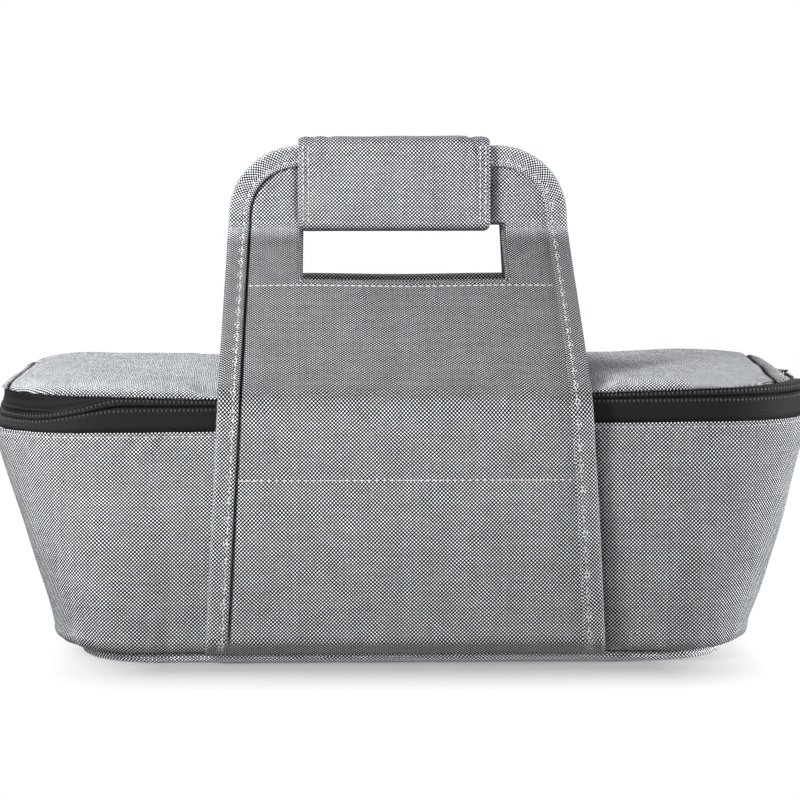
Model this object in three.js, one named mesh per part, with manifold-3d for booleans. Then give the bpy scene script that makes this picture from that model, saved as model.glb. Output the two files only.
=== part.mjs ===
// Casserole carrier: a soft insulated bag with a zipped lid and two handle panels.
// Units are millimetres, +Z is up, the origin is the middle of the base on the table.
// +X runs along the bag's length and the front handle panel faces -Y.
import * as THREE from "three";
import { mergeVertices } from "three/addons/utils/BufferGeometryUtils.js";
import Module from "manifold-3d";

// Cloth, foam and board
const GAP = 0.3; // room left between two layers that touch
const CLOTH = 1.2; // outer cloth of the bag and the lid
const PANEL_CLOTH = 0.9; // cloth of the handle panels and the grip wrap
const LINING = 1.0;
const WALL_FOAM = 5;
const BASE_FOAM = 4;
const BASE_BOARD = 3;
const PANEL_CORE = 3; // stiffening foam in the handle panels

// Bag, each level given by its length, its depth and its corner radius
const BASE = { length: 374, depth: 266, corner: 46 }; // cloth edge above the piping
const HEEL = { length: 407, depth: 276, corner: 52 }; // top of the rounded lower edge
const RIM = { length: 479, depth: 265, corner: 60 }; // cloth edge below the zipper
const LID_STEP = { length: 1, depth: 14, corner: 2 }; // the cloth edge above it is smaller by this
const PIPING = 6; // thickness of the piping round the base
const HEEL_RISE = 11; // height of the rounded lower edge
const HEEL_POWER = 2.6; // 2 is a round edge, more is squarer
const WALL_HEIGHT = 118; // heel to the zipper
const BELLY = 6; // how far the front and back walls swell
const ZIP_BAND = 16.8; // zipper tape that shows between bag and lid
const LID_SLOPE = { run: 18, rise: 5.9 }; // rounded edge of the lid
const LID_CROWN = { run: 90, rise: 4.5 }; // gentle rise from that edge to the middle
const LID_END_STRIP = 19; // cloth strip at each end of the lid

// Zipper
const TAPE = 0.8;
const TAPE_SEAM = 8; // tape hidden behind the bag's cloth
const COIL = { depth: 2, height: 2.6 };
const COIL_PARTING = 1.2; // open slit that the slider's keel runs in
const PARTING_DROP = 5.4; // the slit is this far below the lid's cloth
const ZIP_END = 60; // the zipper stops here on both end walls, behind the middle
const RIM_TAPE = 1.2; // thickness of the binding over the wall's inner edge
const ZIP_STOP = { size: 3, thickness: 1.2 };
const SLIDER = { length: 15, height: 9, plate: 2, keel: 0.6, park: 4 }; // park is its distance from the end
const PULL = { length: 27, height: 6, thickness: 1.8, pin: 0.8, eye: 1.9, play: 0.3, lug: 1.4 };

// Handle panels
const PANEL_FOOT = 229; // width at the base, binding included
const PANEL_FOOT_Z = 9; // its lower edge, just above the piping
const PANEL_TAPER = 0.0525; // each edge leans in by this much per millimetre of height
const PANEL_TOP_CORNER = 42;
const BINDING_WIDTH = 12.5;
const SEW_LINE_DROP = 29.3; // the panel is sewn to the wall up to here, below the zipper, and free above
const BEND = { out: 1.7, rise: 6.9, radius: 12 }; // where it leans over the lid, from the edges there
const FOLD = { rise: 81.5, radius: 5 }; // where it turns upright into the grip, above that bend
const GRIP = { height: 51.3, apart: 0.8 }; // above that fold, and between the two grips
const SLOT = { length: 120, shift: 2.4, below: 27.9, above: 4.5 }; // from that fold

// Grip wrap
const WRAP = { length: 115, shift: -2.4, pad: 4, corner: 5, flapCorner: 2.5 };
const TONGUE_INSET = 4; // the closing tongue is this much shorter at each end
const CLOSURE = { strip: 0.6, width: 7 }; // hook and loop strips

const ARC_STEPS = 6; // facets of a quarter turn in plan
const FOLD_STEPS = 4; // facets of a bend in a panel
const HEEL_STEPS = [0.08, 0.25, 0.5]; // where the rounded lower edge has a level
const WALL_STEPS = [0, 0.2, 0.4, 0.6, 0.8, 1]; // and the wall above it
const LID_STEPS = [0.06, 0.3, 0.6, 1]; // and the rounded edge of the lid
const CUT_REACH = 15; // how far a cut runs past what it cuts

const wasm = await Module();
wasm.setup();

// Heights and layers that follow from the sizes above
const SHELL_BOTTOM_Z = PIPING + GAP;
const HEEL_Z = SHELL_BOTTOM_Z + HEEL_RISE;
const SHELL_TOP_Z = HEEL_Z + WALL_HEIGHT;
const LID_EDGE_Z = SHELL_TOP_Z + ZIP_BAND;
const PARTING_Z = LID_EDGE_Z - PARTING_DROP;
const SEW_LINE_Z = SHELL_TOP_Z - SEW_LINE_DROP;
const BEND_Z = LID_EDGE_Z + BEND.rise;
const FOLD_Z = BEND_Z + FOLD.rise;
const GRIP_TOP_Z = FOLD_Z + GRIP.height;
const SLOT_TOP_Z = FOLD_Z + SLOT.above;
const LID = {
  length: RIM.length - LID_STEP.length,
  depth: RIM.depth - LID_STEP.depth,
  corner: RIM.corner - LID_STEP.corner,
};
const TAPE_IN = CLOTH + GAP;
const COIL_IN = TAPE_IN + TAPE + GAP;
const FOAM_IN = COIL_IN;
const LINING_IN = FOAM_IN + WALL_FOAM + GAP;
const COIL_BACK = COIL_IN + COIL.depth;
const INNER_EDGE = COIL_BACK + GAP;

// Plan of the bag at a height: half length, half depth and corner radius
function planAt(z) {
  const mix = (from, to, t) => ({
    a: THREE.MathUtils.lerp(from.length, to.length, t) / 2,
    b: THREE.MathUtils.lerp(from.depth, to.depth, t) / 2,
    r: THREE.MathUtils.lerp(from.corner, to.corner, t),
  });
  if (z <= SHELL_BOTTOM_Z) return mix(BASE, HEEL, 0);
  if (z < HEEL_Z) {
    const down = (HEEL_Z - z) / HEEL_RISE;
    return mix(BASE, HEEL, (1 - down ** HEEL_POWER) ** (1 / HEEL_POWER));
  }
  if (z < SHELL_TOP_Z) {
    const up = (z - HEEL_Z) / WALL_HEIGHT;
    const plan = mix(HEEL, RIM, up);
    plan.b += BELLY * Math.sin(Math.PI * up);
    return plan;
  }
  return mix(RIM, LID, Math.min(1, (z - SHELL_TOP_Z) / ZIP_BAND));
}

// Stations round the plan: points of a corner's arc, and stops on an end wall
function cornerArc(sideX, sideY, fromDegrees, toDegrees) {
  return Array.from({ length: ARC_STEPS + 1 }, (_, i) => ({
    sideX,
    sideY,
    turn: THREE.MathUtils.degToRad(THREE.MathUtils.lerp(fromDegrees, toDegrees, i / ARC_STEPS)),
  }));
}

const ALL_ROUND = [
  ...cornerArc(1, -1, -90, 0),
  ...cornerArc(1, 1, 0, 90),
  ...cornerArc(-1, 1, 90, 180),
  ...cornerArc(-1, -1, 180, 270),
];
const ZIP_RUN = [
  { sideX: 1, stop: ZIP_END },
  ...cornerArc(1, -1, 0, -90),
  ...cornerArc(-1, -1, -90, -180),
  { sideX: -1, stop: ZIP_END },
];
const HINGE_RUN = [
  { sideX: -1, stop: ZIP_END + GAP },
  ...cornerArc(-1, 1, 180, 90),
  ...cornerArc(1, 1, 90, 0),
  { sideX: 1, stop: ZIP_END + GAP },
];

// The point at a station, a distance inside the outer cloth
function place(station, inset, z, plan = planAt(z)) {
  const { a, b, r } = plan;
  const long = a - inset;
  const deep = b - inset;
  if (station.stop !== undefined) return new THREE.Vector3(station.sideX * long, station.stop, z);
  const round = Math.max(r - inset, CLOTH);
  return new THREE.Vector3(
    station.sideX * (long - round) + round * Math.cos(station.turn),
    station.sideY * (deep - round) + round * Math.sin(station.turn),
    z,
  );
}

// A closed surface as a geometry whose faces point out
function closedGeometry(points, triangles) {
  const volume = triangles.reduce((sum, [i, j, k]) => {
    return sum + points[i].dot(new THREE.Vector3().crossVectors(points[j], points[k]));
  }, 0);
  const index = triangles.flatMap(([i, j, k]) => (volume < 0 ? [i, k, j] : [i, j, k]));
  const geometry = new THREE.BufferGeometry().setFromPoints(points);
  geometry.setIndex(index);
  return geometry;
}

// Triangles that fill a flat outline, turning the same way as the outline
function fillOutline(outline) {
  const flat = outline.map(([u, v]) => new THREE.Vector2(u, v));
  const turn = Math.sign(THREE.ShapeUtils.area(flat));
  return THREE.ShapeUtils.triangulateShape(flat, []).map(([i, j, k]) => {
    const same = Math.sign(THREE.ShapeUtils.area([flat[i], flat[j], flat[k]])) === turn;
    return same ? [i, j, k] : [i, k, j];
  });
}

// A section of inset and height pairs, carried along a run of stations
function band(run, section, closed) {
  const count = section.length;
  const points = run.flatMap((station) => section.map(([inset, z]) => place(station, inset, z)));
  const triangles = [];
  const spans = closed ? run.length : run.length - 1;
  for (let i = 0; i < spans; i += 1) {
    const here = i * count;
    const next = ((i + 1) % run.length) * count;
    for (let k = 0; k < count; k += 1) {
      const l = (k + 1) % count;
      triangles.push([here + k, next + k, next + l], [here + k, next + l, here + l]);
    }
  }
  if (!closed) {
    const end = (run.length - 1) * count;
    for (const [i, j, k] of fillOutline(section)) {
      triangles.push([i, j, k], [end + i, end + k, end + j]);
    }
  }
  return closedGeometry(points, triangles);
}

// Rings one after another round the whole plan, closed by a fan at each end
function stackedRings(levels, plan) {
  const count = ALL_ROUND.length;
  const ring = ([inset, z]) => ALL_ROUND.map((station) => place(station, inset, z, plan));
  const points = levels.flatMap(ring);
  const first = points.push(new THREE.Vector3(0, 0, levels[0][1])) - 1;
  const last = points.push(new THREE.Vector3(0, 0, levels.at(-1)[1])) - 1;
  const top = (levels.length - 1) * count;
  const triangles = [];
  for (let k = 0; k < count; k += 1) {
    const l = (k + 1) % count;
    for (let i = 0; i < levels.length - 1; i += 1) {
      const here = i * count;
      const next = here + count;
      triangles.push([here + k, here + l, next + l], [here + k, next + l, next + k]);
    }
    triangles.push([first, l, k], [last, top + k, top + l]);
  }
  return closedGeometry(points, triangles);
}

// A flat outline in Y and Z, drawn out along X
const ALONG_X = new THREE.Matrix4().makeBasis(
  new THREE.Vector3(0, 1, 0),
  new THREE.Vector3(0, 0, 1),
  new THREE.Vector3(1, 0, 0),
);
function alongX(outline, fromX, toX) {
  const shape = new THREE.Shape(outline.map(([y, z]) => new THREE.Vector2(y, z)));
  const geometry = new THREE.ExtrudeGeometry(shape, { depth: toX - fromX, bevelEnabled: false });
  return geometry.applyMatrix4(ALONG_X).translate(fromX, 0, 0);
}

function box(low, high) {
  const size = high.map((value, i) => value - low[i]);
  const middle = high.map((value, i) => (value + low[i]) / 2);
  return new THREE.BoxGeometry(...size).translate(...middle);
}

// Boolean joins and cuts
function toSolid(geometry) {
  const bare = geometry.clone();
  bare.deleteAttribute("normal");
  bare.deleteAttribute("uv");
  const merged = mergeVertices(bare, 1e-4);
  return new wasm.Manifold(
    new wasm.Mesh({
      numProp: 3,
      vertProperties: new Float32Array(merged.attributes.position.array),
      triVerts: new Uint32Array(merged.index.array),
    }),
  );
}
function toGeometry(solid) {
  const mesh = solid.getMesh();
  const geometry = new THREE.BufferGeometry();
  geometry.setAttribute("position", new THREE.BufferAttribute(mesh.vertProperties, mesh.numProp));
  geometry.setIndex(new THREE.BufferAttribute(mesh.triVerts, 1));
  return geometry;
}

const carrier = new THREE.Group();
const finish = (color, roughness, metalness = 0) => {
  return new THREE.MeshStandardMaterial({ color, roughness, metalness });
};
const MATERIALS = {
  woven: finish(0x9a9b9d, 0.85),
  lining: finish(0xb9bcc0, 0.5),
  foam: finish(0xe4e4e0, 0.95),
  board: finish(0x4a4c50, 0.6),
  zipper: finish(0x1b1b1d, 0.7),
  closure: finish(0x2a2b2d, 0.95),
  metal: finish(0x3a3b3d, 0.35, 1),
};
function add(name, geometry, material) {
  geometry.computeVertexNormals();
  const mesh = new THREE.Mesh(geometry, MATERIALS[material]);
  mesh.name = name;
  carrier.add(mesh);
}

// Heights to follow a curved wall from one level up to another
function wallLevels(from, to) {
  const heel = HEEL_STEPS.map((share) => SHELL_BOTTOM_Z + share * HEEL_RISE);
  const wall = WALL_STEPS.map((share) => HEEL_Z + share * WALL_HEIGHT);
  const between = [...heel, ...wall].filter((z) => z > from + GAP && z < to - GAP);
  return [from, ...between, to];
}
const outward = (levels, inset) => levels.map((z) => [inset, z]);
const inward = (levels, inset) => outward(levels, inset).reverse();

// Base: cloth, board and foam lie on each other inside the piping
function addBase() {
  const core = PIPING / 2;
  const pipe = new THREE.EllipseCurve(0, 0, core, core, 0, Math.PI * 2);
  const pipeSection = pipe.getPoints(2 * FOLD_STEPS).slice(1).map((p) => [core + p.x, core + p.y]);
  const inside = PIPING + GAP;
  const board = CLOTH + GAP;
  const foam = board + BASE_BOARD + GAP;
  const plate = (low, high) => stackedRings([[inside, low], [inside, high]], planAt(0));
  add("base_piping", band(ALL_ROUND, pipeSection, true), "woven");
  add("base_panel", plate(0, CLOTH), "woven");
  add("base_board", plate(board, board + BASE_BOARD), "board");
  add("base_foam", plate(foam, foam + BASE_FOAM), "foam");
  return foam + BASE_FOAM + GAP;
}

// Walls: cloth outside, foam between, lining inside, and a tape over the top edge
function addWalls(floorZ) {
  const seamZ = SHELL_TOP_Z - TAPE_SEAM;
  const edgeZ = PARTING_Z - COIL_PARTING / 2 - COIL.height - GAP;
  const clothOut = wallLevels(SHELL_BOTTOM_Z, SHELL_TOP_Z);
  const clothIn = wallLevels(SHELL_BOTTOM_Z, seamZ - GAP);
  const shell = [
    ...outward(clothOut, 0),
    [CLOTH, SHELL_TOP_Z],
    [CLOTH, seamZ - GAP],
    ...inward(clothIn, TAPE_IN + TAPE),
  ];
  const wall = wallLevels(floorZ, edgeZ);
  const foam = [...outward(wall, FOAM_IN), ...inward(wall, FOAM_IN + WALL_FOAM)];
  const lining = [
    ...outward(wall, LINING_IN),
    ...inward(wallLevels(floorZ + LINING, edgeZ), LINING_IN + LINING),
  ];
  const tapeZ = edgeZ + GAP;
  const tapeEnd = LINING_IN + LINING;
  const rim = [
    [INNER_EDGE, tapeZ],
    [INNER_EDGE, tapeZ + RIM_TAPE],
    [tapeEnd, tapeZ + RIM_TAPE],
    [tapeEnd, tapeZ],
  ];
  add("body_shell", band(ALL_ROUND, shell, true), "woven");
  add("wall_foam", band(ALL_ROUND, foam, true), "foam");
  add("lining_tub", stackedRings(lining), "lining");
  add("rim_binding", band(ALL_ROUND, rim, true), "zipper");
}

// Zipper: a tape and a coil on the bag, and the same on the lid
function addZipper() {
  const slit = COIL_PARTING / 2;
  const strip = (inset, thickness, from, to) => {
    const levels = wallLevels(from, to);
    return [...outward(levels, inset), ...inward(levels, inset + thickness)];
  };
  const low = PARTING_Z - slit;
  const high = PARTING_Z + slit;
  const tapeFoot = SHELL_TOP_Z - TAPE_SEAM;
  const tapeHead = LID_EDGE_Z - GAP;
  add("zip_tape_lower", band(ZIP_RUN, strip(TAPE_IN, TAPE, tapeFoot, low), false), "zipper");
  add("zip_tape_upper", band(ZIP_RUN, strip(TAPE_IN, TAPE, high, tapeHead), false), "zipper");
  const coilLow = strip(COIL_IN, COIL.depth, low - COIL.height, low);
  const coilHigh = strip(COIL_IN, COIL.depth, high, high + COIL.height);
  add("zip_coil_lower", band(ZIP_RUN, coilLow, false), "zipper");
  add("zip_coil_upper", band(ZIP_RUN, coilHigh, false), "zipper");
  const hinge = strip(TAPE_IN, TAPE, SHELL_TOP_Z + GAP, tapeHead);
  add("lid_hinge_strip", band(HINGE_RUN, hinge, false), "woven");
}

// Slider on the right end wall, with its pull on an upright pin
function addSlider() {
  const half = SLIDER.height / 2;
  const face = planAt(PARTING_Z + half).a - TAPE_IN + GAP;
  const back = ZIP_END - SLIDER.park;
  const front = back - SLIDER.length;
  const pinX = face + SLIDER.plate + PULL.eye + GAP;
  const pinY = back - SLIDER.length / 2;
  const reach = PULL.height / 2;
  const keelFrom = face - TAPE - GAP - COIL.depth;
  const plate = toSolid(
    box([face, front, PARTING_Z - half], [face + SLIDER.plate, back, PARTING_Z + half]),
  );
  const keel = toSolid(
    box(
      [keelFrom, front, PARTING_Z - SLIDER.keel / 2],
      [face + SLIDER.plate / 2, back, PARTING_Z + SLIDER.keel / 2],
    ),
  );
  let slider = plate.add(keel);
  for (const side of [-1, 1]) {
    const inner = PARTING_Z + side * (reach + GAP);
    const outer = inner + side * PULL.lug;
    const lug = box(
      [face + SLIDER.plate / 2, pinY - PULL.eye, Math.min(inner, outer)],
      [pinX + PULL.eye, pinY + PULL.eye, Math.max(inner, outer)],
    );
    slider = slider.add(toSolid(lug));
  }
  const upright = (radius, height) => {
    return new THREE.CylinderGeometry(radius, radius, height, ARC_STEPS * 2)
      .rotateX(Math.PI / 2)
      .translate(pinX, pinY, PARTING_Z);
  };
  const pin = toSolid(upright(PULL.pin, 2 * (reach + GAP) + PULL.lug));
  const bore = toSolid(upright(PULL.pin + PULL.play, PULL.height + 2 * GAP));
  const tab = box(
    [pinX + PULL.eye - PULL.thickness, pinY - PULL.length, PARTING_Z - reach],
    [pinX + PULL.eye, pinY, PARTING_Z + reach],
  );
  const eye = toSolid(upright(PULL.eye, PULL.height));
  add("zip_slider", toGeometry(slider.add(pin)), "metal");
  add("zip_pull", toGeometry(eye.add(toSolid(tab)).subtract(bore)), "metal");
}

// Small crimp that ends the zipper on the left end wall
function addZipStop() {
  const face = planAt(PARTING_Z).a - TAPE_IN + GAP;
  const high = PARTING_Z - COIL_PARTING / 2;
  const { size, thickness } = ZIP_STOP;
  const stop = box([-face - thickness, ZIP_END - size, high - size], [-face, ZIP_END, high]);
  add("zip_stop", stop, "metal");
}

// Lid: cloth in three pieces over foam, with a lining below
function addLid() {
  const rimIn = TAPE_IN + TAPE;
  const slopeZ = (share) => LID_EDGE_Z + LID_SLOPE.rise * Math.sin((Math.PI / 2) * share);
  const slope = LID_STEPS.map((share) => [share * LID_SLOPE.run, slopeZ(share)]);
  const crown = [LID_CROWN.run, LID_EDGE_Z + LID_SLOPE.rise + LID_CROWN.rise];
  const top = [[0, LID_EDGE_Z], ...slope, crown];
  const sunk = (depth) => top.slice(2).map(([inset, z]) => [inset, z - depth]);
  const under = sunk(CLOTH).reverse();
  const skin = toSolid(stackedRings([...under, [rimIn, LID_EDGE_Z], ...top]));
  const { a, b } = planAt(LID_EDGE_Z);
  const seam = a - LID_END_STRIP;
  const ceiling = crown[1] + CLOTH;
  const cut = (fromX, toX) => {
    const keep = toSolid(box([fromX, -b - CLOTH, LID_EDGE_Z - CLOTH], [toX, b + CLOTH, ceiling]));
    return toGeometry(skin.intersect(keep));
  };
  add("lid_top", cut(-seam + GAP, seam - GAP), "woven");
  add("lid_end_left", cut(-a - CLOTH, -seam - GAP), "woven");
  add("lid_end_right", cut(seam + GAP, a + CLOTH), "woven");
  const liningZ = PARTING_Z + COIL_PARTING / 2;
  const foamZ = liningZ + LINING + GAP;
  const foamTop = sunk(CLOTH + GAP);
  const foam = [[INNER_EDGE, foamZ], [INNER_EDGE, LID_EDGE_Z - GAP], ...foamTop];
  add("lid_lining", stackedRings([[INNER_EDGE, liningZ], [INNER_EDGE, liningZ + LINING]]), "lining");
  add("lid_foam", stackedRings(foam), "foam");
}

// Side paths of the front handle panel, in Y and Z, from the base upwards
function leftNormal(from, to) {
  const run = new THREE.Vector2().subVectors(to, from).normalize();
  return new THREE.Vector2(-run.y, run.x);
}
function offsetPath(path, distance) {
  return path.map((point, i) => {
    const before = i > 0 ? leftNormal(path[i - 1], point) : leftNormal(point, path[i + 1]);
    const after = i < path.length - 1 ? leftNormal(point, path[i + 1]) : before;
    const mitre = new THREE.Vector2().addVectors(before, after);
    return point.clone().addScaledVector(mitre, (2 * distance) / mitre.lengthSq());
  });
}
// Rounds one corner of a path
function roundCorner(before, corner, after, radius) {
  const inDirection = new THREE.Vector2().subVectors(corner, before).normalize();
  const outDirection = new THREE.Vector2().subVectors(after, corner).normalize();
  const turn = Math.acos(THREE.MathUtils.clamp(inDirection.dot(outDirection), -1, 1));
  const back = radius * Math.tan(turn / 2);
  const start = corner.clone().addScaledVector(inDirection, -back);
  const end = corner.clone().addScaledVector(outDirection, back);
  return new THREE.QuadraticBezierCurve(start, corner, end).getPoints(FOLD_STEPS);
}

// Layers of a panel, as distances from the middle of its core
const HALF_CORE = PANEL_CORE / 2;
const FACE_FROM = HALF_CORE + GAP;
const FACE_TO = FACE_FROM + PANEL_CLOTH;
const BIND_FROM = FACE_TO + GAP;
const BIND_TO = BIND_FROM + PANEL_CLOTH;
const CORE_OUT = BIND_TO + GAP; // middle of the core, out from the bag's cloth
const GRIP_MIDDLE = -(GRIP.apart / 2 + BIND_TO);

const wallPath = wallLevels(PANEL_FOOT_Z, SEW_LINE_Z).map((z) => new THREE.Vector2(-planAt(z).b, z));
const sewnPath = offsetPath(wallPath, CORE_OUT);
const hingeCore = sewnPath.at(-1);
const sewnEnd = new THREE.Vector2(hingeCore.x, SEW_LINE_Z - GAP);
const freeStart = new THREE.Vector2(hingeCore.x, SEW_LINE_Z + GAP);
const bendPoint = new THREE.Vector2(-RIM.depth / 2 - BEND.out, BEND_Z);
const foldPoint = new THREE.Vector2(GRIP_MIDDLE, FOLD_Z);
const gripTop = new THREE.Vector2(GRIP_MIDDLE, GRIP_TOP_Z);
const freePath = [
  freeStart,
  ...roundCorner(freeStart, bendPoint, foldPoint, BEND.radius),
  ...roundCorner(bendPoint, foldPoint, gripTop, FOLD.radius),
  gripTop,
];
const PATHS = { sewn: [...sewnPath.slice(0, -1), sewnEnd], free: freePath };

// The same path, a little longer at both ends, for a cut that passes right through
function prolonged(path) {
  const tail = leftNormal(path[0], path[1]).multiplyScalar(PANEL_CORE);
  const head = leftNormal(path.at(-2), path.at(-1)).multiplyScalar(PANEL_CORE);
  const before = new THREE.Vector2(path[0].x - tail.y, path[0].y + tail.x);
  const after = new THREE.Vector2(path.at(-1).x + head.y, path.at(-1).y - head.x);
  return [before, ...path, after];
}

// Everything between two distances from a path, right across the panel
function layer(path, from, to) {
  const outline = [...offsetPath(path, from), ...offsetPath(path, to).reverse()];
  return toSolid(alongX(outline.map((p) => [p.x, p.y]), -PANEL_FOOT, PANEL_FOOT));
}

// The panel's outline seen from the front, grown or shrunk, cut right through the bag's depth
function outlineCut(grow) {
  const halfAt = (z) => PANEL_FOOT / 2 - PANEL_TAPER * (z - PANEL_FOOT_Z) + grow;
  const cornerZ = GRIP_TOP_Z - PANEL_TOP_CORNER;
  const radius = PANEL_TOP_CORNER + grow;
  const centre = halfAt(cornerZ) - radius;
  const lowZ = -PANEL_TOP_CORNER;
  const shape = new THREE.Shape();
  shape.moveTo(-halfAt(lowZ), lowZ);
  shape.lineTo(halfAt(lowZ), lowZ);
  shape.absarc(centre, cornerZ, radius, 0, Math.PI / 2, false);
  shape.absarc(-centre, cornerZ, radius, Math.PI / 2, Math.PI, false);
  const depth = HEEL.depth;
  const geometry = new THREE.ExtrudeGeometry(shape, {
    depth,
    bevelEnabled: false,
    curveSegments: ARC_STEPS,
  });
  return toSolid(geometry.rotateX(Math.PI / 2).translate(0, CUT_REACH, 0));
}

// The finger slot, grown on all four sides, square to the leaning part below it
function slotCut(grow) {
  const lean = new THREE.Vector2().subVectors(foldPoint, bendPoint).normalize();
  const square = new THREE.Vector2(-lean.y, lean.x);
  const share = 1 - SLOT.below / FOLD.rise;
  const edge = bendPoint.clone().lerp(foldPoint, share).addScaledVector(lean, -grow);
  const front = edge.clone().addScaledVector(square, CUT_REACH);
  const rear = edge.clone().addScaledVector(square, -CUT_REACH);
  const top = SLOT_TOP_Z + grow;
  const outline = [
    [front.x, front.y],
    [rear.x, rear.y],
    [CUT_REACH, rear.y],
    [CUT_REACH, top],
    [front.x, top],
  ];
  const half = SLOT.length / 2 + grow;
  return toSolid(alongX(outline, SLOT.shift - half, SLOT.shift + half));
}

// One handle panel; side is -1 at the front and 1 at the back
function addPanel(label, side) {
  const facing = (solid) => (side < 0 ? solid : solid.mirror([0, 1, 0]));
  const addLayer = (name, solid, material) => add(`${label}_${name}`, toGeometry(facing(solid)), material);
  const clothEdge = outlineCut(-PANEL_CLOTH - GAP);
  const bindingInside = outlineCut(-PANEL_CLOTH);
  const bindingInnerEdge = outlineCut(-BINDING_WIDTH);
  const whole = outlineCut(0);
  const slotEdge = slotCut(PANEL_CLOTH + GAP);
  const layers = {
    face: [FACE_FROM, FACE_TO, "woven"],
    core: [-HALF_CORE, HALF_CORE, "foam"],
    backing: [-FACE_TO, -FACE_FROM, "woven"],
  };
  for (const [name, [from, to, material]] of Object.entries(layers)) {
    addLayer(`sewn_${name}`, layer(PATHS.sewn, from, to).intersect(clothEdge), material);
    const free = layer(PATHS.free, from, to).intersect(clothEdge);
    addLayer(name, free.subtract(slotEdge), material);
  }
  const binding = (path) => {
    const stack = layer(prolonged(path), -FACE_TO - GAP, FACE_TO + GAP).intersect(bindingInside);
    return layer(path, -BIND_TO, BIND_TO).intersect(whole).subtract(stack).subtract(bindingInnerEdge);
  };
  addLayer("binding", binding(PATHS.free), "woven");
  const sewnBinding = binding(PATHS.sewn);
  const depth = HEEL.depth;
  for (const [hand, fromX, toX] of [["left", -PANEL_FOOT, 0], ["right", 0, PANEL_FOOT]]) {
    const half = toSolid(box([fromX, -depth, -PIPING], [toX, depth, SEW_LINE_Z]));
    addLayer(`sewn_binding_${hand}`, sewnBinding.intersect(half), "woven");
  }
  const ring = slotCut(PANEL_CLOTH).subtract(slotCut(0));
  addLayer("slot_facing", layer(PATHS.free, -FACE_TO, FACE_TO).intersect(ring), "woven");
}

// Grip wrap: a fixed half on the front grip and a flap that closes round the back grip
function roundedTop(outer, z, side, corner) {
  const arc = new THREE.EllipseCurve(
    side * (outer - corner),
    z - corner,
    corner,
    corner,
    side < 0 ? Math.PI : 0,
    Math.PI / 2,
    side < 0,
  );
  return arc.getPoints(FOLD_STEPS).map((p) => [p.x, p.y]);
}
function addWrap() {
  const left = WRAP.shift - WRAP.length / 2;
  const right = WRAP.shift + WRAP.length / 2;
  const tongueLeft = left + TONGUE_INSET;
  const tongueRight = right - TONGUE_INSET;
  const inside = -GRIP_MIDDLE + BIND_TO + GAP;
  const padOut = inside + WRAP.pad;
  const coverIn = padOut + GAP;
  const coverOut = coverIn + PANEL_CLOTH;
  const roof = GRIP_TOP_Z + GAP;
  const roofPad = roof + WRAP.pad;
  const roofIn = roofPad + GAP;
  const roofOut = roofIn + PANEL_CLOTH;
  const split = inside;
  const lipTop = SLOT_TOP_Z - GAP;
  const lipLow = lipTop - PANEL_CLOTH;
  const loopLow = lipLow - GAP - CLOSURE.strip;
  const hookLow = loopLow - GAP - CLOSURE.strip;
  const tongueTop = hookLow - GAP;
  const tongueLow = tongueTop - PANEL_CLOTH;
  const lipEnd = -GRIP.apart / 2 - GAP;
  const stripFrom = lipEnd - GAP - CLOSURE.width;
  const roundIn = WRAP.corner + GAP;
  const roundOut = roundIn + PANEL_CLOTH;

  const frontPad = [
    [-inside, SLOT_TOP_Z],
    [-inside, roof],
    [split, roof],
    [split, roofPad],
    ...roundedTop(padOut, roofPad, -1, WRAP.corner).reverse(),
    [-padOut, SLOT_TOP_Z],
  ];
  const frontCover = [
    [-coverIn, lipLow],
    ...roundedTop(coverIn, roofIn, -1, roundIn),
    [split, roofIn],
    [split, roofOut],
    ...roundedTop(coverOut, roofOut, -1, roundOut).reverse(),
    [-coverOut, lipLow],
  ];
  const lip = box([tongueLeft, -coverOut, lipLow], [tongueRight, lipEnd, lipTop]);
  const cover = toSolid(alongX(frontCover, left, right)).add(toSolid(lip));
  add("wrap_front_pad", alongX(frontPad, left, right), "foam");
  add("wrap_front_cover", toGeometry(cover), "woven");
  add(
    "wrap_loop_strip",
    box([tongueLeft, stripFrom, loopLow], [tongueRight, lipEnd - GAP, loopLow + CLOSURE.strip]),
    "closure",
  );

  const hinge = split + GAP;
  const flapPad = [
    [hinge, SLOT_TOP_Z],
    [padOut + GAP, SLOT_TOP_Z],
    ...roundedTop(padOut + GAP, roofPad, 1, WRAP.flapCorner),
    [hinge, roofPad],
  ];
  const flapIn = coverIn + GAP;
  const flapOut = coverOut + GAP;
  const flapCover = [
    [flapIn, lipLow],
    [flapOut, lipLow],
    ...roundedTop(flapOut, roofOut, 1, WRAP.flapCorner + GAP + PANEL_CLOTH),
    [hinge, roofOut],
    [hinge, roofIn],
    ...roundedTop(flapIn, roofIn, 1, WRAP.flapCorner + GAP).reverse(),
  ];
  const tongueOutline = [
    [flapIn, lipTop],
    [flapIn, tongueTop],
    [stripFrom, tongueTop],
    [stripFrom, tongueLow],
    [flapOut, tongueLow],
    [flapOut, lipTop],
  ];
  const tongue = toSolid(alongX(tongueOutline, tongueLeft, tongueRight));
  const flap = toSolid(alongX(flapCover, left, right)).add(tongue);
  add("wrap_flap_pad", alongX(flapPad, left, right), "foam");
  add("wrap_flap_cover", toGeometry(flap), "woven");
  add(
    "wrap_hook_strip",
    box([tongueLeft, stripFrom, hookLow], [tongueRight, lipEnd - GAP, hookLow + CLOSURE.strip]),
    "closure",
  );
}

addWalls(addBase());
addZipper();
addSlider();
addZipStop();
addLid();
addPanel("front", -1);
addPanel("back", 1);
addWrap();

export default carrier;
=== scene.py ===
import math
from contextlib import contextmanager

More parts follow.
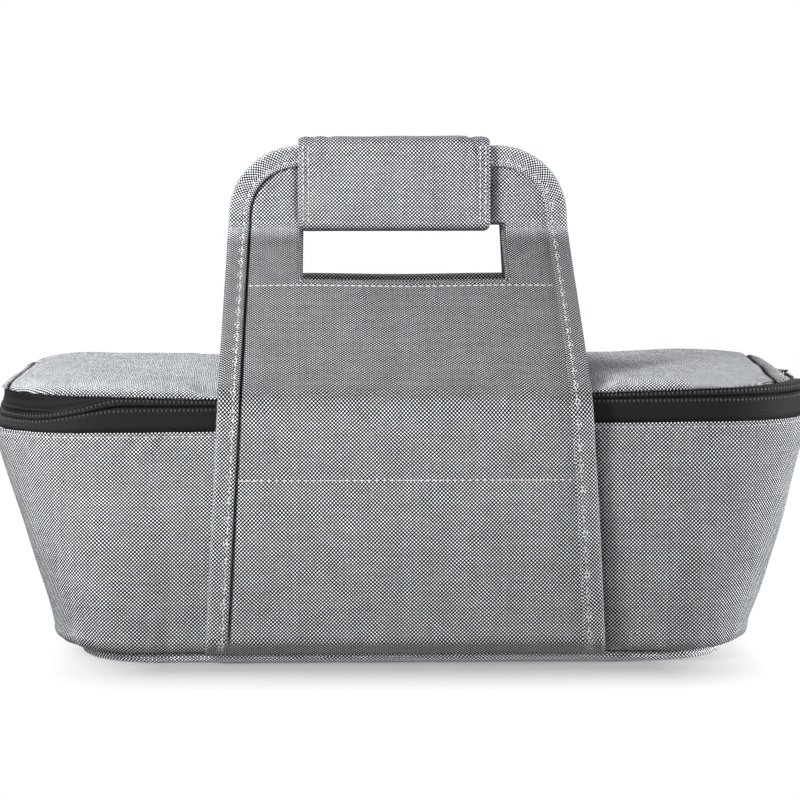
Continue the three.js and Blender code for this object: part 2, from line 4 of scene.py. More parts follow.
import bmesh
import bpy
import numpy as np
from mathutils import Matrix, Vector


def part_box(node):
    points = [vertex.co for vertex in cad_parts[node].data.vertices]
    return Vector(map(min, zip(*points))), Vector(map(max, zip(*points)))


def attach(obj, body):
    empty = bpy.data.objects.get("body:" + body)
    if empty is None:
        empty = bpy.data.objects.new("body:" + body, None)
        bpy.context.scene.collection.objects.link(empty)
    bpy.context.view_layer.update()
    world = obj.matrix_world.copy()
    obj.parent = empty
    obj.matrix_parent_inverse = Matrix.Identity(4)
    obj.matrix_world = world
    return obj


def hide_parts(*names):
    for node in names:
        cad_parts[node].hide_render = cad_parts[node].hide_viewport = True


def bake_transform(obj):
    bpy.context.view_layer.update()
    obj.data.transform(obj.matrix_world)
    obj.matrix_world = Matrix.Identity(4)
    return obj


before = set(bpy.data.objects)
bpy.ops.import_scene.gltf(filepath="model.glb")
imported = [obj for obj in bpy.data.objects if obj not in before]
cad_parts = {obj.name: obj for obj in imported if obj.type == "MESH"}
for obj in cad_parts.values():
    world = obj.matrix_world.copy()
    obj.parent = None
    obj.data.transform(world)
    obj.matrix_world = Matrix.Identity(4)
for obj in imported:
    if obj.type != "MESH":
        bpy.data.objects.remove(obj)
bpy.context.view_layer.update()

# Sizes in millimetres, as in the part's source
MM = 0.001
WELD = 0.02  # points that lie closer than this are one point
BASE = (187.0, 133.0, 46.0)  # half length, half depth and corner radius of each level
HEEL = (203.5, 138.0, 52.0)
RIM = (239.5, 132.5, 60.0)
LID = (239.0, 125.5, 58.0)
PIPING = 6.0
SHELL_LOW = 6.3  # lower edge of the wall, on the piping
HEEL_TOP = 17.3  # top of its rounded lower edge
SHELL_TOP = 135.3  # its upper edge, under the zipper
LID_EDGE = 152.1  # lower edge of the lid's cloth
PARTING = 146.7  # where the zipper closes
HEEL_POWER = 2.6  # 2 is a round edge, more is squarer
BELLY = 6.0  # how far the long walls swell
CLOTH = 1.2
LINING_CLOTH = 1.0
TAPE_CLOTH = 0.8
FACING_CLOTH = 0.7
RIM_TAPE_CLOTH = 0.5
LINING_IN = 8.9  # from the wall's outer face to the lining
LINING_TOP = 143.2
LINING_FLOOR = 10.1
LID_LINING = 147.4
SEW_LINE = 106.0  # the panels are sewn to the walls up to here
PANEL_FOOT = 6.9
PANEL_OUT = 4.2  # from the wall's outer face to the panel's middle
PANEL_HALF = 2.7  # half its thickness
PANEL_WIDE = 114.5  # half its width near its foot
PANEL_WIDE_AT = 9.0  # the height where it is that wide
PANEL_TAPER = 0.0525  # each edge leans in by this much per millimetre of height
PANEL_END = 290.2  # upper edge of its cloth, inside the binding
BEND = (-136.5, 151.0)  # side and height of the front panel's bend over the lid's edge
BEND_RADIUS = 20.0
FOLD = (-4.3, 240.5)  # where it turns upright into the grip
FOLD_RADIUS = 5.0
GRIP_TOP = 291.8
TOP_CORNER = 42.0
BINDING = 12.5
# Left, right and height of the hand slot's lower and upper edge
SLOT_LOW = {"front": (-58.4, 63.2, 212.6), "back": (-62.0, 66.6, 209.8)}
SLOT_HIGH = {"front": (-57.6, 62.4, 245.0), "back": (-57.6, 62.0, 245.0)}
SLOT_SEAM = 6.4  # from the front slot's lower edge down to the stitches under it
WRAP = (-59.9, 55.1)  # left and right end of the grip wrap
ZIP_STOP_SHARE = 0.863  # where the zipper ends on the straight of an end wall
HINGE_CLOTH = (134.6, 152.4)  # lower and upper edge of the cloth that hinges the lid
STITCH = (3.0, 0.85, 0.7)  # length, width and height of a stitch on the panels
WRAP_STITCH = (2.4, 0.8, 0.6)
RIM_STITCH = (2.3, 0.6, 0.5)
RIM_SEAM = 2.6  # from the wall's upper edge down to its stitches
COIL_RIDGE = (2.3, 1.5, 1.0)

scene = bpy.context.scene


def smooth(low, high, value):
    """A soft step from 0 at low to 1 at high."""
    t = np.clip((np.asarray(value, float) - low) / (high - low), 0, 1)
    return t * t * (3 - 2 * t)


def bump(middle, width, value):
    """A soft hill that is 1 at its middle."""
    return np.exp(-(((np.asarray(value, float) - middle) / width) ** 2))


# Shader writing


class Value:
    """A socket that plain sums can be written with."""

    def __init__(self, finish, socket):
        self.finish = finish
        self.socket = socket

    def sum(self, operation, first, second=None):
        inputs = {0: first} if second is None else {0: first, 1: second}
        return self.finish.node("ShaderNodeMath", {"operation": operation}, inputs)[0]

    def __add__(self, other):
        return self.sum("ADD", self, other)

    def __radd__(self, other):
        return self.sum("ADD", other, self)

    def __sub__(self, other):
        return self.sum("SUBTRACT", self, other)

    def __rsub__(self, other):
        return self.sum("SUBTRACT", other, self)

    def __mul__(self, other):
        return self.sum("MULTIPLY", self, other)

    def __rmul__(self, other):
        return self.sum("MULTIPLY", other, self)

    def __truediv__(self, other):
        return self.sum("DIVIDE", self, other)

    def __mod__(self, other):
        return self.sum("FLOORED_MODULO", self, other)

    def __pow__(self, other):
        return self.sum("POWER", self, other)

    def __gt__(self, other):
        return self.sum("GREATER_THAN", self, other)

    def floor(self):
        return self.sum("FLOOR", self)

    def fraction(self):
        return self.sum("FRACT", self)

    def sine(self):
        return self.sum("SINE", self)

    def size(self):
        return self.sum("ABSOLUTE", self)

    def wave(self, pitch):
        return (self * (2 * math.pi / pitch)).sine()

    def within(self, low, high):
        return self.sum("MAXIMUM", low, self.sum("MINIMUM", self, high))


class Outputs:
    """A node's output sockets as values."""

    def __init__(self, finish, node):
        self.finish = finish
        self.node = node

    def __getitem__(self, key):
        return Value(self.finish, self.node.outputs[key])


class Finish:
    """The shader of one material or of the world, written as sums of values."""

    def __init__(self, owner):
        self.owner = owner
        owner.use_nodes = True
        self.tree = owner.node_tree
        self.tree.nodes.clear()

    def node(self, kind, settings=None, inputs=None):
        made = self.tree.nodes.new(kind)
        for key, setting in (settings or {}).items():
            setattr(made, key, setting)
        for key, given in (inputs or {}).items():
            if isinstance(given, Value):
                self.tree.links.new(given.socket, made.inputs[key])
            else:
                made.inputs[key].default_value = given
        return Outputs(self, made)

    def blend(self, factor, first, second):
        return self.node("ShaderNodeMix", {"data_type": "RGBA"}, {0: factor, 6: first, 7: second})[2]

    def noise(self, vector, scale, detail=2.0):
        inputs = {"Vector": vector, "Scale": scale, "Detail": detail}
        return self.node("ShaderNodeTexNoise", None, inputs)[0]

    def cloth(self):
        return self.node("ShaderNodeUVMap", {"uv_map": "cloth"})["UV"]

    def place(self):
        return self.node("ShaderNodeTexCoord")["Object"]

    def split(self, vector):
        return self.node("ShaderNodeSeparateXYZ", None, {0: vector})

    def chance(self, number):
        return self.node("ShaderNodeTexWhiteNoise", {"noise_dimensions": "1D"}, {"W": number})[0]

    def surface(self, colour, roughness, height, depth, strength, **constants):
        relief = {"Height": height, "Distance": depth, "Strength": strength}
        normal = self.node("ShaderNodeBump", None, relief)[0]
        inputs = {"Base Color": colour, "Roughness": roughness, "Normal": normal}
        for key, constant in constants.items():
            inputs[key.replace("_", " ")] = constant
        shader = self.node("ShaderNodeBsdfPrincipled", None, inputs)[0]
        self.node("ShaderNodeOutputMaterial", None, {"Surface": shader})
        return self.owner


def grey(level, warm=1.0, cool=1.0):
    return (level * warm, level, level * cool, 1.0)


YARN = 0.00106  # metres from one yarn of the canvas to the next
LIGHT_YARN = 0.96
DARK_YARN = 0.008


def make_canvas(name, slubs):
    """Plain weave of light warp and dark crosswise yarn; each light float is a rounded grain; a point
    attribute paints shade and light into the colour.
    """
    f = Finish(bpy.data.materials.new(name))
    uv = f.cloth()
    sway = f.node("ShaderNodeTexNoise", None, {"Vector": uv, "Scale": 55.0, "Detail": 1.0})["Color"]
    sway = f.node("ShaderNodeVectorMath", {"operation": "SUBTRACT"}, {0: sway, 1: (0.5, 0.5, 0.5)})[0]
    sway = f.node("ShaderNodeVectorMath", {"operation": "SCALE"}, {0: sway, "Scale": 0.0016})[0]
    moved = f.split(f.node("ShaderNodeVectorMath", {"operation": "ADD"}, {0: uv, 1: sway})[0])
    u = moved["X"] / YARN
    v = moved["Y"] / YARN
    over = ((u.floor() + v.floor()) % 2.0) > 0.5
    across_u = u.fraction() - 0.5
    across_v = v.fraction() - 0.5
    radius = across_u * across_u + across_v * across_v
    grain = ((0.245 - radius) * 8.5).within(0.0, 1.0)
    warp_tone = f.chance(u.floor() + 0.5)
    weft_tone = f.chance(v.floor() + 1000.5)
    crossing = f.node("ShaderNodeCombineXYZ", None, {0: u.floor(), 1: v.floor()})[0]
    fleck = f.node("ShaderNodeTexWhiteNoise", {"noise_dimensions": "2D"}, {"Vector": crossing})[0]
    drawn_out = f.node("ShaderNodeMapping", None, {"Vector": uv, "Scale": (900.0, 60.0, 1.0)})[0]
    slub = f.noise(drawn_out, 1.0)
    cloud = f.noise(uv, 48.0, 4.0)
    tone = 1.0 + (warp_tone + weft_tone - 1.0) * 0.11 + (slub - 0.5) * slubs + (cloud - 0.5) * 0.45
    tone = tone + (fleck - 0.5) * 0.2
    # A point attribute paints shade into the colour where it is above 0 and paints light where it is
    # below 0.
    painted_shading_share = f.node("ShaderNodeAttribute", {"attribute_name": "painted_light_shade"})["Fac"]
    level = (DARK_YARN + grain * over * (LIGHT_YARN - DARK_YARN)) * tone * (1.0 - painted_shading_share)
    colour = f.node("ShaderNodeCombineColor", None, {0: level * 0.965, 1: level, 2: level * 1.05})[0]
    return f.surface(
        colour, roughness=0.92, height=grain * 0.5 + slub, depth=0.0002, strength=0.25,
        Specular_IOR_Level=0.1,
    )


def make_tape(name):
    """Black zipper tape: fine ribs that run its whole length."""
    f = Finish(bpy.data.materials.new(name))
    uv = f.cloth()
    parts = f.split(uv)
    rib = (parts["Y"].wave(0.0011) + 1.0) * 0.5
    pick = (parts["X"].wave(0.0009) + 1.0) * 0.5
    fuzz = f.noise(uv, 700.0, 2.0)
    level = 0.001 + rib * 0.005 + pick * rib * 0.003 + fuzz * 0.002
    colour = f.node("ShaderNodeCombineColor", None, {0: level, 1: level, 2: level * 1.05})[0]
    return f.surface(
        colour, roughness=0.7, height=rib * 0.7 + pick * 0.3, depth=0.00016, strength=0.7,
        Specular_IOR_Level=0.18,
    )


def make_plain(name, low, high, scale, roughness, depth, **constants):
    """A plain material whose tone and surface drift a little, on object coordinates."""
    f = Finish(bpy.data.materials.new(name))
    place = f.place()
    fine = f.noise(place, scale, 3.0)
    broad = f.noise(place, scale / 20, 2.0)
    colour = f.blend(fine * 0.6 + broad * 0.4, low, high)
    roughness = roughness + (fine - 0.5) * 0.2
    return f.surface(colour, roughness, height=fine, depth=depth, strength=0.6, **constants)


def make_lining(name):
    """Wipe-clean grey lining with a fine grid of thicker yarns."""
    f = Finish(bpy.data.materials.new(name))
    uv = f.cloth()
    parts = f.split(uv)
    wide = parts["X"].wave(0.008).size() ** 14.0
    tall = parts["Y"].wave(0.008).size() ** 14.0
    yarn = parts["X"].wave(0.0008) * parts["Y"].wave(0.0008)
    crumple = f.noise(uv, 60.0, 3.0)
    height = (wide + tall) * 0.5 + yarn * 0.15 + crumple * 1.2
    colour = f.blend(crumple, grey(0.33, 0.98, 1.03), grey(0.46, 0.98, 1.03))
    roughness = 0.42 + crumple * 0.15
    return f.surface(colour, roughness, height, depth=0.0003, strength=0.5, Specular_IOR_Level=0.5)


def make_closure(name):
    """Hook and loop strip: a dense nap."""
    f = Finish(bpy.data.materials.new(name))
    nap = f.noise(f.place(), 1900.0, 4.0)
    colour = f.blend(nap, grey(0.006), grey(0.035))
    return f.surface(
        colour, roughness=0.9, height=nap, depth=0.0005, strength=0.9, Specular_IOR_Level=0.2
    )


CANVAS = make_canvas("grey_canvas", slubs=0.12)
LID_CANVAS = make_canvas("lid_canvas", slubs=0.9)
TAPE = make_tape("zipper_tape")
COIL = make_plain(
    "zipper_coil", grey(0.022), grey(0.055), scale=900.0, roughness=0.45, depth=0.0001,
    Specular_IOR_Level=0.35,
)
THREAD = make_plain(
    "sewing_thread", grey(0.55), grey(0.8), scale=2600.0, roughness=0.7, depth=0.0001
)
LINING = make_lining("grey_lining")
METAL = make_plain(
    "dark_plating", grey(0.05, cool=1.03), grey(0.11, cool=1.03), scale=500.0, roughness=0.3,
    depth=0.00004, Metallic=1.0,
)
CLOSURE = make_closure("hook_and_loop")


# Mesh making


def deselect():
    bpy.ops.object.select_all(action="DESELECT")


def apply_place():
    bpy.ops.object.transform_apply(location=True, rotation=True, scale=True)


@contextmanager
def edit_mode():
    """Edit mode on the active piece, with all of it selected."""
    bpy.ops.object.mode_set(mode="EDIT")
    bpy.ops.mesh.select_all(action="SELECT")
    yield
    bpy.ops.object.mode_set(mode="OBJECT")


def show_only(obj):
    deselect()
    obj.select_set(True)
    bpy.context.view_layer.objects.active = obj


def from_faces(name, points, faces, uv=None):
    """A smooth mesh from millimetre points; uv holds one pair for each point, in millimetres."""
    mesh = bpy.data.meshes.new(name)
    faces = [list(map(int, face)) for face in faces]
    mesh.from_pydata((np.asarray(points) * MM).tolist(), [], faces)
    if uv is not None:
        order = np.zeros(len(mesh.loops), int)
        mesh.loops.foreach_get("vertex_index", order)
        layer = mesh.uv_layers.new(name="cloth")
        layer.data.foreach_set("uv", (np.asarray(uv)[order] * MM).ravel())
    mesh.polygons.foreach_set("use_smooth", np.ones(len(mesh.polygons), bool))
    obj = bpy.data.objects.new(name, mesh)
    scene.collection.objects.link(obj)
    return obj


def from_grid(name, points, uv, flip=False, keep=None):
    """A mesh from rows of points; keep marks the faces that stay."""
    rows, columns = points.shape[:2]
    index = np.arange(rows * columns).reshape(rows, columns)
    faces = np.stack([index[:-1, :-1], index[:-1, 1:], index[1:, 1:], index[1:, :-1]], axis=-1)
    if flip:
        faces = faces[..., ::-1]
    faces = faces.reshape(-1, 4) if keep is None else faces[keep]
    return from_faces(name, points.reshape(-1, 3), faces, uv.reshape(-1, 2))


@contextmanager
def opened(obj):
    """Opens a mesh for work on its faces and puts it back."""
    mesh = bmesh.new()
    mesh.from_mesh(obj.data)
    yield mesh
    mesh.to_mesh(obj.data)
    mesh.free()


def weld(obj):
    with opened(obj) as mesh:
        bmesh.ops.remove_doubles(mesh, verts=mesh.verts, dist=WELD * MM)


def drop_loose(obj):
    with opened(obj) as mesh:
        loose = [point for point in mesh.verts if not point.link_faces]
        bmesh.ops.delete(mesh, geom=loose, context="VERTS")


def thicken(obj, millimetres, offset=-1.0, group=None):
    """Gives a sheet its thickness, inwards unless offset says otherwise."""
    show_only(obj)
    modifier = obj.modifiers.new("thickness", "SOLIDIFY")
    modifier.thickness = millimetres * MM
    modifier.offset = offset
    modifier.use_even_offset = False
    if group is not None:
        modifier.vertex_group = group
        modifier.thickness_vertex_group = 0.0
    bpy.ops.object.modifier_apply(modifier=modifier.name)


def read_points(obj):
    """A mesh's points in millimetres."""
    points = np.zeros(len(obj.data.vertices) * 3, np.float32)
    obj.data.vertices.foreach_get("co", points)
    return points.reshape(-1, 3).astype(float) / MM


def move_points(obj, mover):
    """Moves a mesh's points; mover takes and returns an array in millimetres."""
    moved = mover(read_points(obj)) * MM
    obj.data.vertices.foreach_set("co", moved.astype(np.float32).ravel())
    obj.data.update()


def paint_light_and_shade(obj, share):
    """Paints light and shade into a canvas's colour: a share above 0 darkens it as painted shade, one
    below 0 lightens it as painted light; share gives it for points in millimetres.
    """
    values = share(read_points(obj)).astype(np.float32)
    shown = obj.data.attributes.new("painted_light_shade", "FLOAT", "POINT")
    shown.data.foreach_set("value", values)


def evenly(share):
    return lambda points: np.full(len(points), share)


def unit(vectors):
    return vectors / np.linalg.norm(vectors, axis=-1, keepdims=True)


def travelled(points):
    """How far along a row of points each of them lies."""
    steps = np.linalg.norm(np.diff(points, axis=0), axis=1)
    return np.concatenate([[0.0], np.cumsum(steps)])


def at(where, total, values):
    """A row's values, read at distances along it."""
    return np.column_stack([np.interp(where, total, column) for column in values.T])


def strip_size(rows):
    """Width and length, in metres, of the strip of cloth that a grid of points was cut from."""
    width = np.linalg.norm(np.diff(rows, axis=0), axis=2).sum(axis=0).mean()
    length = np.linalg.norm(np.diff(rows, axis=1), axis=2).sum(axis=1).mean()
    return width * MM, length * MM


def dress(obj, material, slot, *nodes):
    """Gives a piece its material and hides the CAD nodes that it stands for; slot is not used."""
    obj.data.materials.clear()
    obj.data.materials.append(material)
    if nodes:
        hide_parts(*nodes)


# The bag's plan


def plan_at(z):
    """Half length, half depth and corner radius of the outer cloth at a height."""

    def mix(low, high, t):
        return tuple(p + (q - p) * t for p, q in zip(low, high))

    if z <= SHELL_LOW:
        return BASE
    if z < HEEL_TOP:
        down = (HEEL_TOP - z) / (HEEL_TOP - SHELL_LOW)
        return mix(BASE, HEEL, (1 - down**HEEL_POWER) ** (1 / HEEL_POWER))
    if z < SHELL_TOP:
        up = (z - HEEL_TOP) / (SHELL_TOP - HEEL_TOP)
        a, b, r = mix(HEEL, RIM, up)
        return a, b + BELLY * math.sin(math.pi * up), r
    return mix(RIM, LID, min(1.0, (z - SHELL_TOP) / (LID_EDGE - SHELL_TOP)))


def corner(from_degrees, to_degrees, side_y):
    """Stations round a corner: shares of the straights, then the way out."""
    turns = np.radians(np.linspace(from_degrees, to_degrees, 19))
    return [(1.0, side_y, math.cos(t), math.sin(t)) for t in turns]


def straight_side(low, high, steps=26):
    return [(1.0, share, 1.0, 0.0) for share in np.linspace(low, high, steps + 1)]


def straight_long(low, high, side_y):
    """Half of a long side, with closer stations along the handle panel's edge."""
    coarse, close, rest = np.linspace(0, 0.6, 27), np.linspace(0.6, 0.79, 45), np.linspace(0.79, 1, 15)
    shares = np.concatenate([coarse[:-1], close[:-1], rest])
    return [(share, side_y, 0.0, side_y) for share in (shares if high > low else shares[::-1])]


def mirrored(run):
    """The same stations on the left half, in the opposite order."""
    return np.array(run)[::-1] * np.array([-1.0, 1.0, -1.0, 1.0])


def front_half(side):
    """From the middle of the front round the right front corner, then along the given side."""
    return straight_long(0, 1, -1)[:-1] + corner(-90, 0, -1)[:-1] + side


def back_half(side):
    """Along the given side, round the right back corner and to the middle of the back."""
    return side[:-1] + corner(0, 90, 1)[:-1] + straight_long(1, 0, 1)


def whole_run():
    """From the middle of the back by the left end, the front and the right end to the back again."""
    right = front_half(back_half(straight_side(-1, 1)))
    return np.vstack([mirrored(right)[:-1], np.array(right)])


def zipper_run():
    right = front_half(straight_side(-1, ZIP_STOP_SHARE, 44))
    return np.vstack([mirrored(right)[:-1], np.array(right)])


def hinge_run():
    right = back_half(straight_side(ZIP_STOP_SHARE + 0.004, 1, 6))
    return np.vstack([np.array(right), mirrored(right)[1:]])


ROUND = whole_run()
ZIPPER = zipper_run()
HINGE = hinge_run()


def out_from(run):
    """The level direction out from each station."""
    return np.column_stack([run[:, 2:], np.zeros(len(run))])


def ring(run, z, inset=0.0, plan=None):
    """The stations of a run as points, set in from the outer cloth at a height or from a plan."""
    a, b, r = plan or plan_at(z)
    turn = max(r - inset, CLOTH)
    x = run[:, 0] * (a - inset - turn) + turn * run[:, 2]
    y = run[:, 1] * (b - inset - turn) + turn * run[:, 3]
    return np.column_stack([x, y, np.full(len(run), float(z))])


def lengths(points):
    """Distance along a row of points, measured from its middle."""
    total = travelled(points)
    return total - total[len(total) // 2]


def level_with(u, v):
    """Places on the cloth of a row of points that all lie at v."""
    return np.column_stack([u, np.full(len(u), v)])


def climbed(levels):
    """Length of the long wall's cloth from the first level to each."""
    return travelled(np.array([(plan_at(z)[1], z) for z in levels]))


def rim_lift(x, y):
    """How far the lid's rim stands over its plan: more at the right front, and at the front corners."""
    front = smooth(20, -95, y)
    corners = 4.4 * smooth(-60, -235, x), 2.6 * smooth(110, 225, x)
    return front * (3.0 * np.tanh(x / 120) + corners[0] + corners[1])


def settle(points):
    """The soft bag stands a little higher at its right front than at its left."""
    moved = np.array(points, float)
    x, y, z = moved[..., 0], moved[..., 1], moved[..., 2]
    tilt = 3.0 * np.tanh(x / 120) * smooth(20, -95, y)
    moved[..., 2] = z + tilt * smooth(70, 135, z) + (rim_lift(x, y) - tilt) * smooth(147, 152, z)
    return moved


def draw_in(points):
    """The soft rim leans in at the lid's ends, most at the back of the left end."""
    moved = np.array(points, float)
    x, y, z = moved[..., 0], moved[..., 1], moved[..., 2]
    left = (5.0 + 4.5 * smooth(-20, 60, y)) * smooth(-140, -239, x) * smooth(141, 152, z)
    right = (6.5 + 3.5 * smooth(20, -60, y)) * smooth(140, 239, x) * smooth(149.8, 151.8, z)
    moved[..., 0] = x + left - right
    return moved


def wander(x, y):
    """The zipper's closing line rides up along the front and dips at the left front corner."""
    return smooth(15, -70, y) * (2.0 - 7.5 * smooth(-160, -222, x))


# Bag


def wall_folds(points, u):
    """How far the cloth of the wall stands out; it lies plain behind the panels."""
    x, y, z = points.T
    side, long_wall = np.abs(x), smooth(112, 122, np.abs(y))
    bare = np.maximum(smooth(114, 134, side), smooth(124, 112, np.abs(y)))
    below_rim = SHELL_TOP - z
    pucker = 1.5 * np.exp(-below_rim / 9) * np.sin(u / 2.4 + 2.2 * np.sin(u / 19) + below_rim / 4)
    pucker = np.maximum(pucker * (0.55 + 0.45 * np.sin(u / 13 + 0.7)), -0.8) * smooth(0, 4, below_rim)
    seam = -0.5 * bump(RIM_SEAM, 0.9, below_rim)
    gather = 0.35 * np.exp(-((z - 12) / 12) ** 2) * np.sin(u / 2.6 + 1.2 * np.sin(u / 23))
    slack = 1.0 * np.sin(u / 31 + z / 26 + 0.6) * np.sin(z / 37 + u / 83)
    slack = slack * smooth(8, 40, z) * smooth(4, 40, below_rim)
    drag = 0.7 * np.sin((u * 0.5 + z) / 11) * bump(30, 26, z) * smooth(40, 110, side)
    beside = -2.2 * bump(1.0, 1.2, x - half_width(z)) * long_wall * smooth(134, 126, z)
    belly = 3.6 * bump(170, 30, side) * bump(32, 42, z) * long_wall
    return bare * (pucker + gather + slack + drag) + belly + seam + beside


def make_wall():
    heel = SHELL_LOW + (HEEL_TOP - SHELL_LOW) * np.linspace(0, 1, 13) ** 1.6
    levels = [heel[:-1], np.linspace(HEEL_TOP, 124, 52), np.linspace(125, SHELL_TOP, 14)]
    levels = np.concatenate(levels)
    rows, uv = [], []
    for z, rise in zip(levels, climbed(levels)):
        points = ring(ROUND, z)
        u = lengths(points)
        points[:, :2] += ROUND[:, 2:] * wall_folds(points, u)[:, None]
        rows.append(settle(points))
        uv.append(level_with(u, rise))
    wall = from_grid("bag_wall", np.array(rows), np.array(uv))
    weld(wall)
    thicken(wall, CLOTH)
    dress(wall, CANVAS, "woven", "body_shell", "wall_foam")
    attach(wall, "bag")


def make_piping():
    """A closed tube round the base."""
    half = PIPING / 2
    centres, outward = ring(ROUND, half, half, BASE), out_from(ROUND)
    turns = np.linspace(0, 2 * math.pi, 15)
    up = np.array([0.0, 0.0, 1.0])
    rows = [centres + half * (math.cos(t) * outward + math.sin(t) * up) for t in turns]
    u = lengths(centres)
    uv = [level_with(u, half * t) for t in turns]
    piping = from_grid("base_piping_cord", np.array(rows), np.array(uv))
    weld(piping)
    # Painted light: the whole piping is made lighter.
    paint_light_and_shade(piping, evenly(-0.85))
    dress(piping, CANVAS, "woven", "base_piping")
    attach(piping, "bag")


def make_base_cloth():
    edge = 4.6  # in from the base's outline
    insets = np.concatenate([[edge, 5.6, 7, 10], np.linspace(18, 124, 22)])
    rows, uv = [], []
    for inset in insets[::-1]:
        points = ring(ROUND, 0, inset, BASE)
        points[:, 2] = 0.3 + 1.4 * smooth(10, edge, inset)
        rows.append(points)
        uv.append(points[:, :2])
    rows = np.array(rows)
    sheet = from_grid("base_cloth", rows, np.array(uv))
    fill_middle(sheet, rows[0])
    weld(sheet)
    thicken(sheet, CLOTH)
    dress(sheet, CANVAS, "woven", "base_panel", "base_board", "base_foam")
    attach(sheet, "bag")


def fill_middle(obj, row):
    """Closes the innermost ring, which is the first or last row of the grid."""
    weld(obj)
    places = {tuple(np.round(p * MM, 5)) for p in row}
    with opened(obj) as mesh:
        layer = mesh.loops.layers.uv.active
        edges = [e for e in mesh.edges if e.is_boundary]
        edges = [e for e in edges if all(tuple(np.round(v.co, 5)) in places for v in e.verts)]
        for face in bmesh.ops.holes_fill(mesh, edges=edges, sides=0)["faces"]:
            face.smooth = True
            for loop in face.loops:
                loop[layer].uv = loop.vert.co.xy


def make_lining_tub():
    turn = LINING_FLOOR + 2.2  # where the wall turns into the floor
    walls = np.concatenate([np.linspace(LINING_TOP, 24, 40), np.linspace(21, turn, 6)])
    falls = climbed(walls)
    rows, uv = [], []
    for z, fall in zip(walls, falls):
        points = ring(ROUND, z, LINING_IN)
        u = lengths(points)
        slack = 0.5 * np.sin(u / 19 + z / 23) * np.sin(z / 31 + u / 47)
        slack = slack * smooth(10, 40, z) * smooth(143, 120, z)
        slack *= smooth(0, 40, u) * smooth(u[-1], u[-1] - 40, u)
        points[:, :2] += ROUND[:, 2:] * slack[:, None]
        rows.append(points)
        uv.append(level_with(u, -fall))
    plan = plan_at(turn)
    beside = np.array([0.0, 700.0])  # the floor's own place on the cloth
    for inset in np.concatenate([[10.0, 11.6], np.linspace(16, 126, 24)]):
        points = ring(ROUND, LINING_FLOOR, inset, plan)
        points[:, 2] = LINING_FLOOR + 0.7 * smooth(11.6, LINING_IN, inset)
        rows.append(points)
        uv.append(points[:, :2] + beside)
    rows = np.array(rows)
    tub = from_grid("lining_tub_cloth", rows, np.array(uv), flip=True)
    fill_middle(tub, rows[-1])
    weld(tub)
    thicken(tub, LINING_CLOTH)
    dress(tub, LINING, "lining", "lining_tub")
    flat = [2 * (half - LINING_IN + falls[-1]) * MM for half in plan[:2]]
    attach(tub, "bag")


def make_rim_tape():
    """A folded tape over the wall's inner top edge."""
    section = np.array([  # inset and height
        (4.8, 143.4), (4.75, 144.3), (5.1, 144.75), (6.8, 144.9),
        (8.6, 144.75), (9.3, 144.2), (9.5, 143), (9.4, 138.5),
    ])
    rows = np.array([ring(ROUND, z, inset) for inset, z in section])
    along = lengths(rows[0])
    uv = np.array([level_with(along, across) for across in travelled(section)])
    tape = from_grid("rim_tape", rows, uv)
    weld(tape)
    thicken(tape, RIM_TAPE_CLOTH)
    dress(tape, TAPE, "zip_tape", "rim_binding")
    strip_size(rows)
    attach(tape, "bag")


# Zipper


def zipper_points(z, inset):
    """A row of points along the zipper."""
    plain = ring(ZIPPER, z, inset)
    pulled = smooth(136, 145, z) * smooth(152.5, 149, z)
    points = draw_in(plain)
    points[:, 2] += pulled * wander(plain[:, 0], plain[:, 1])
    return settle(points)


def make_tape_strip(name, heights, body, node):
    """heights are pairs of height and inset, from the bottom up."""
    rows = np.array([zipper_points(z, inset) for z, inset in heights])
    uv = [level_with(lengths(row), z) for row, (z, _) in zip(rows, heights)]
    strip = from_grid(name, rows, np.array(uv))
    thicken(strip, TAPE_CLOTH)
    dress(strip, TAPE, "zip_tape", node)
    strip_size(rows)
    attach(strip, body)


def spaced(points, pitch):
    """Places along a row of points at an even pitch, with the row's direction there."""
    total = travelled(points)
    count = max(2, int(total[-1] / pitch))
    where = (np.arange(count) + 0.5) * total[-1] / count
    run = at(where + 0.4, total, points) - at(where - 0.4, total, points)
    return at(where, total, points), unit(run), where, total


def model_grain():
    """One short rounded grain, 1 long and 1 thick, as points and faces."""
    deselect()
    lying = (0, math.pi / 2, 0)
    bpy.ops.mesh.primitive_uv_sphere_add(segments=6, ring_count=5, radius=0.5, rotation=lying)
    grain = bpy.context.object
    apply_place()
    with edit_mode():
        bpy.ops.transform.resize(value=(1.0, 1.0, 0.9))
    points = np.array([v.co for v in grain.data.vertices])
    x = points[:, 0] * 2
    points[:, 0] = np.sign(x) * np.abs(x) ** 0.6 / 2
    faces = [list(p.vertices) for p in grain.data.polygons]
    bpy.data.objects.remove(grain)
    return points, faces


GRAIN = model_grain()


def scatter(name, places, along, outward, size):
    """Copies of the grain, each laid along a direction; size is length, width and height."""
    points, faces = GRAIN
    across = unit(np.cross(outward, along))
    up = np.cross(along, across)
    local = points * np.array(size)
    stacked = (
        places[:, None, :]
        + local[None, :, 0:1] * along[:, None, :]
        + local[None, :, 1:2] * across[:, None, :]
        + local[None, :, 2:3] * up[:, None, :]
    )
    count = len(points)
    all_faces = [[i * count + k for k in face] for i in range(len(places)) for face in faces]
    return from_faces(name, stacked.reshape(-1, 3), all_faces)


def make_coil(name, height, body, node):
    """A row of coil ridges pressed through the tape."""
    places, run, where, total = spaced(zipper_points(height, inset=1.45), pitch=2.5)
    outward = at(where, total, out_from(ZIPPER))
    ridges = scatter(name, places, np.cross(outward, run), outward, COIL_RIDGE)
    dress(ridges, COIL, "zip_coil", node)
    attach(ridges, body)


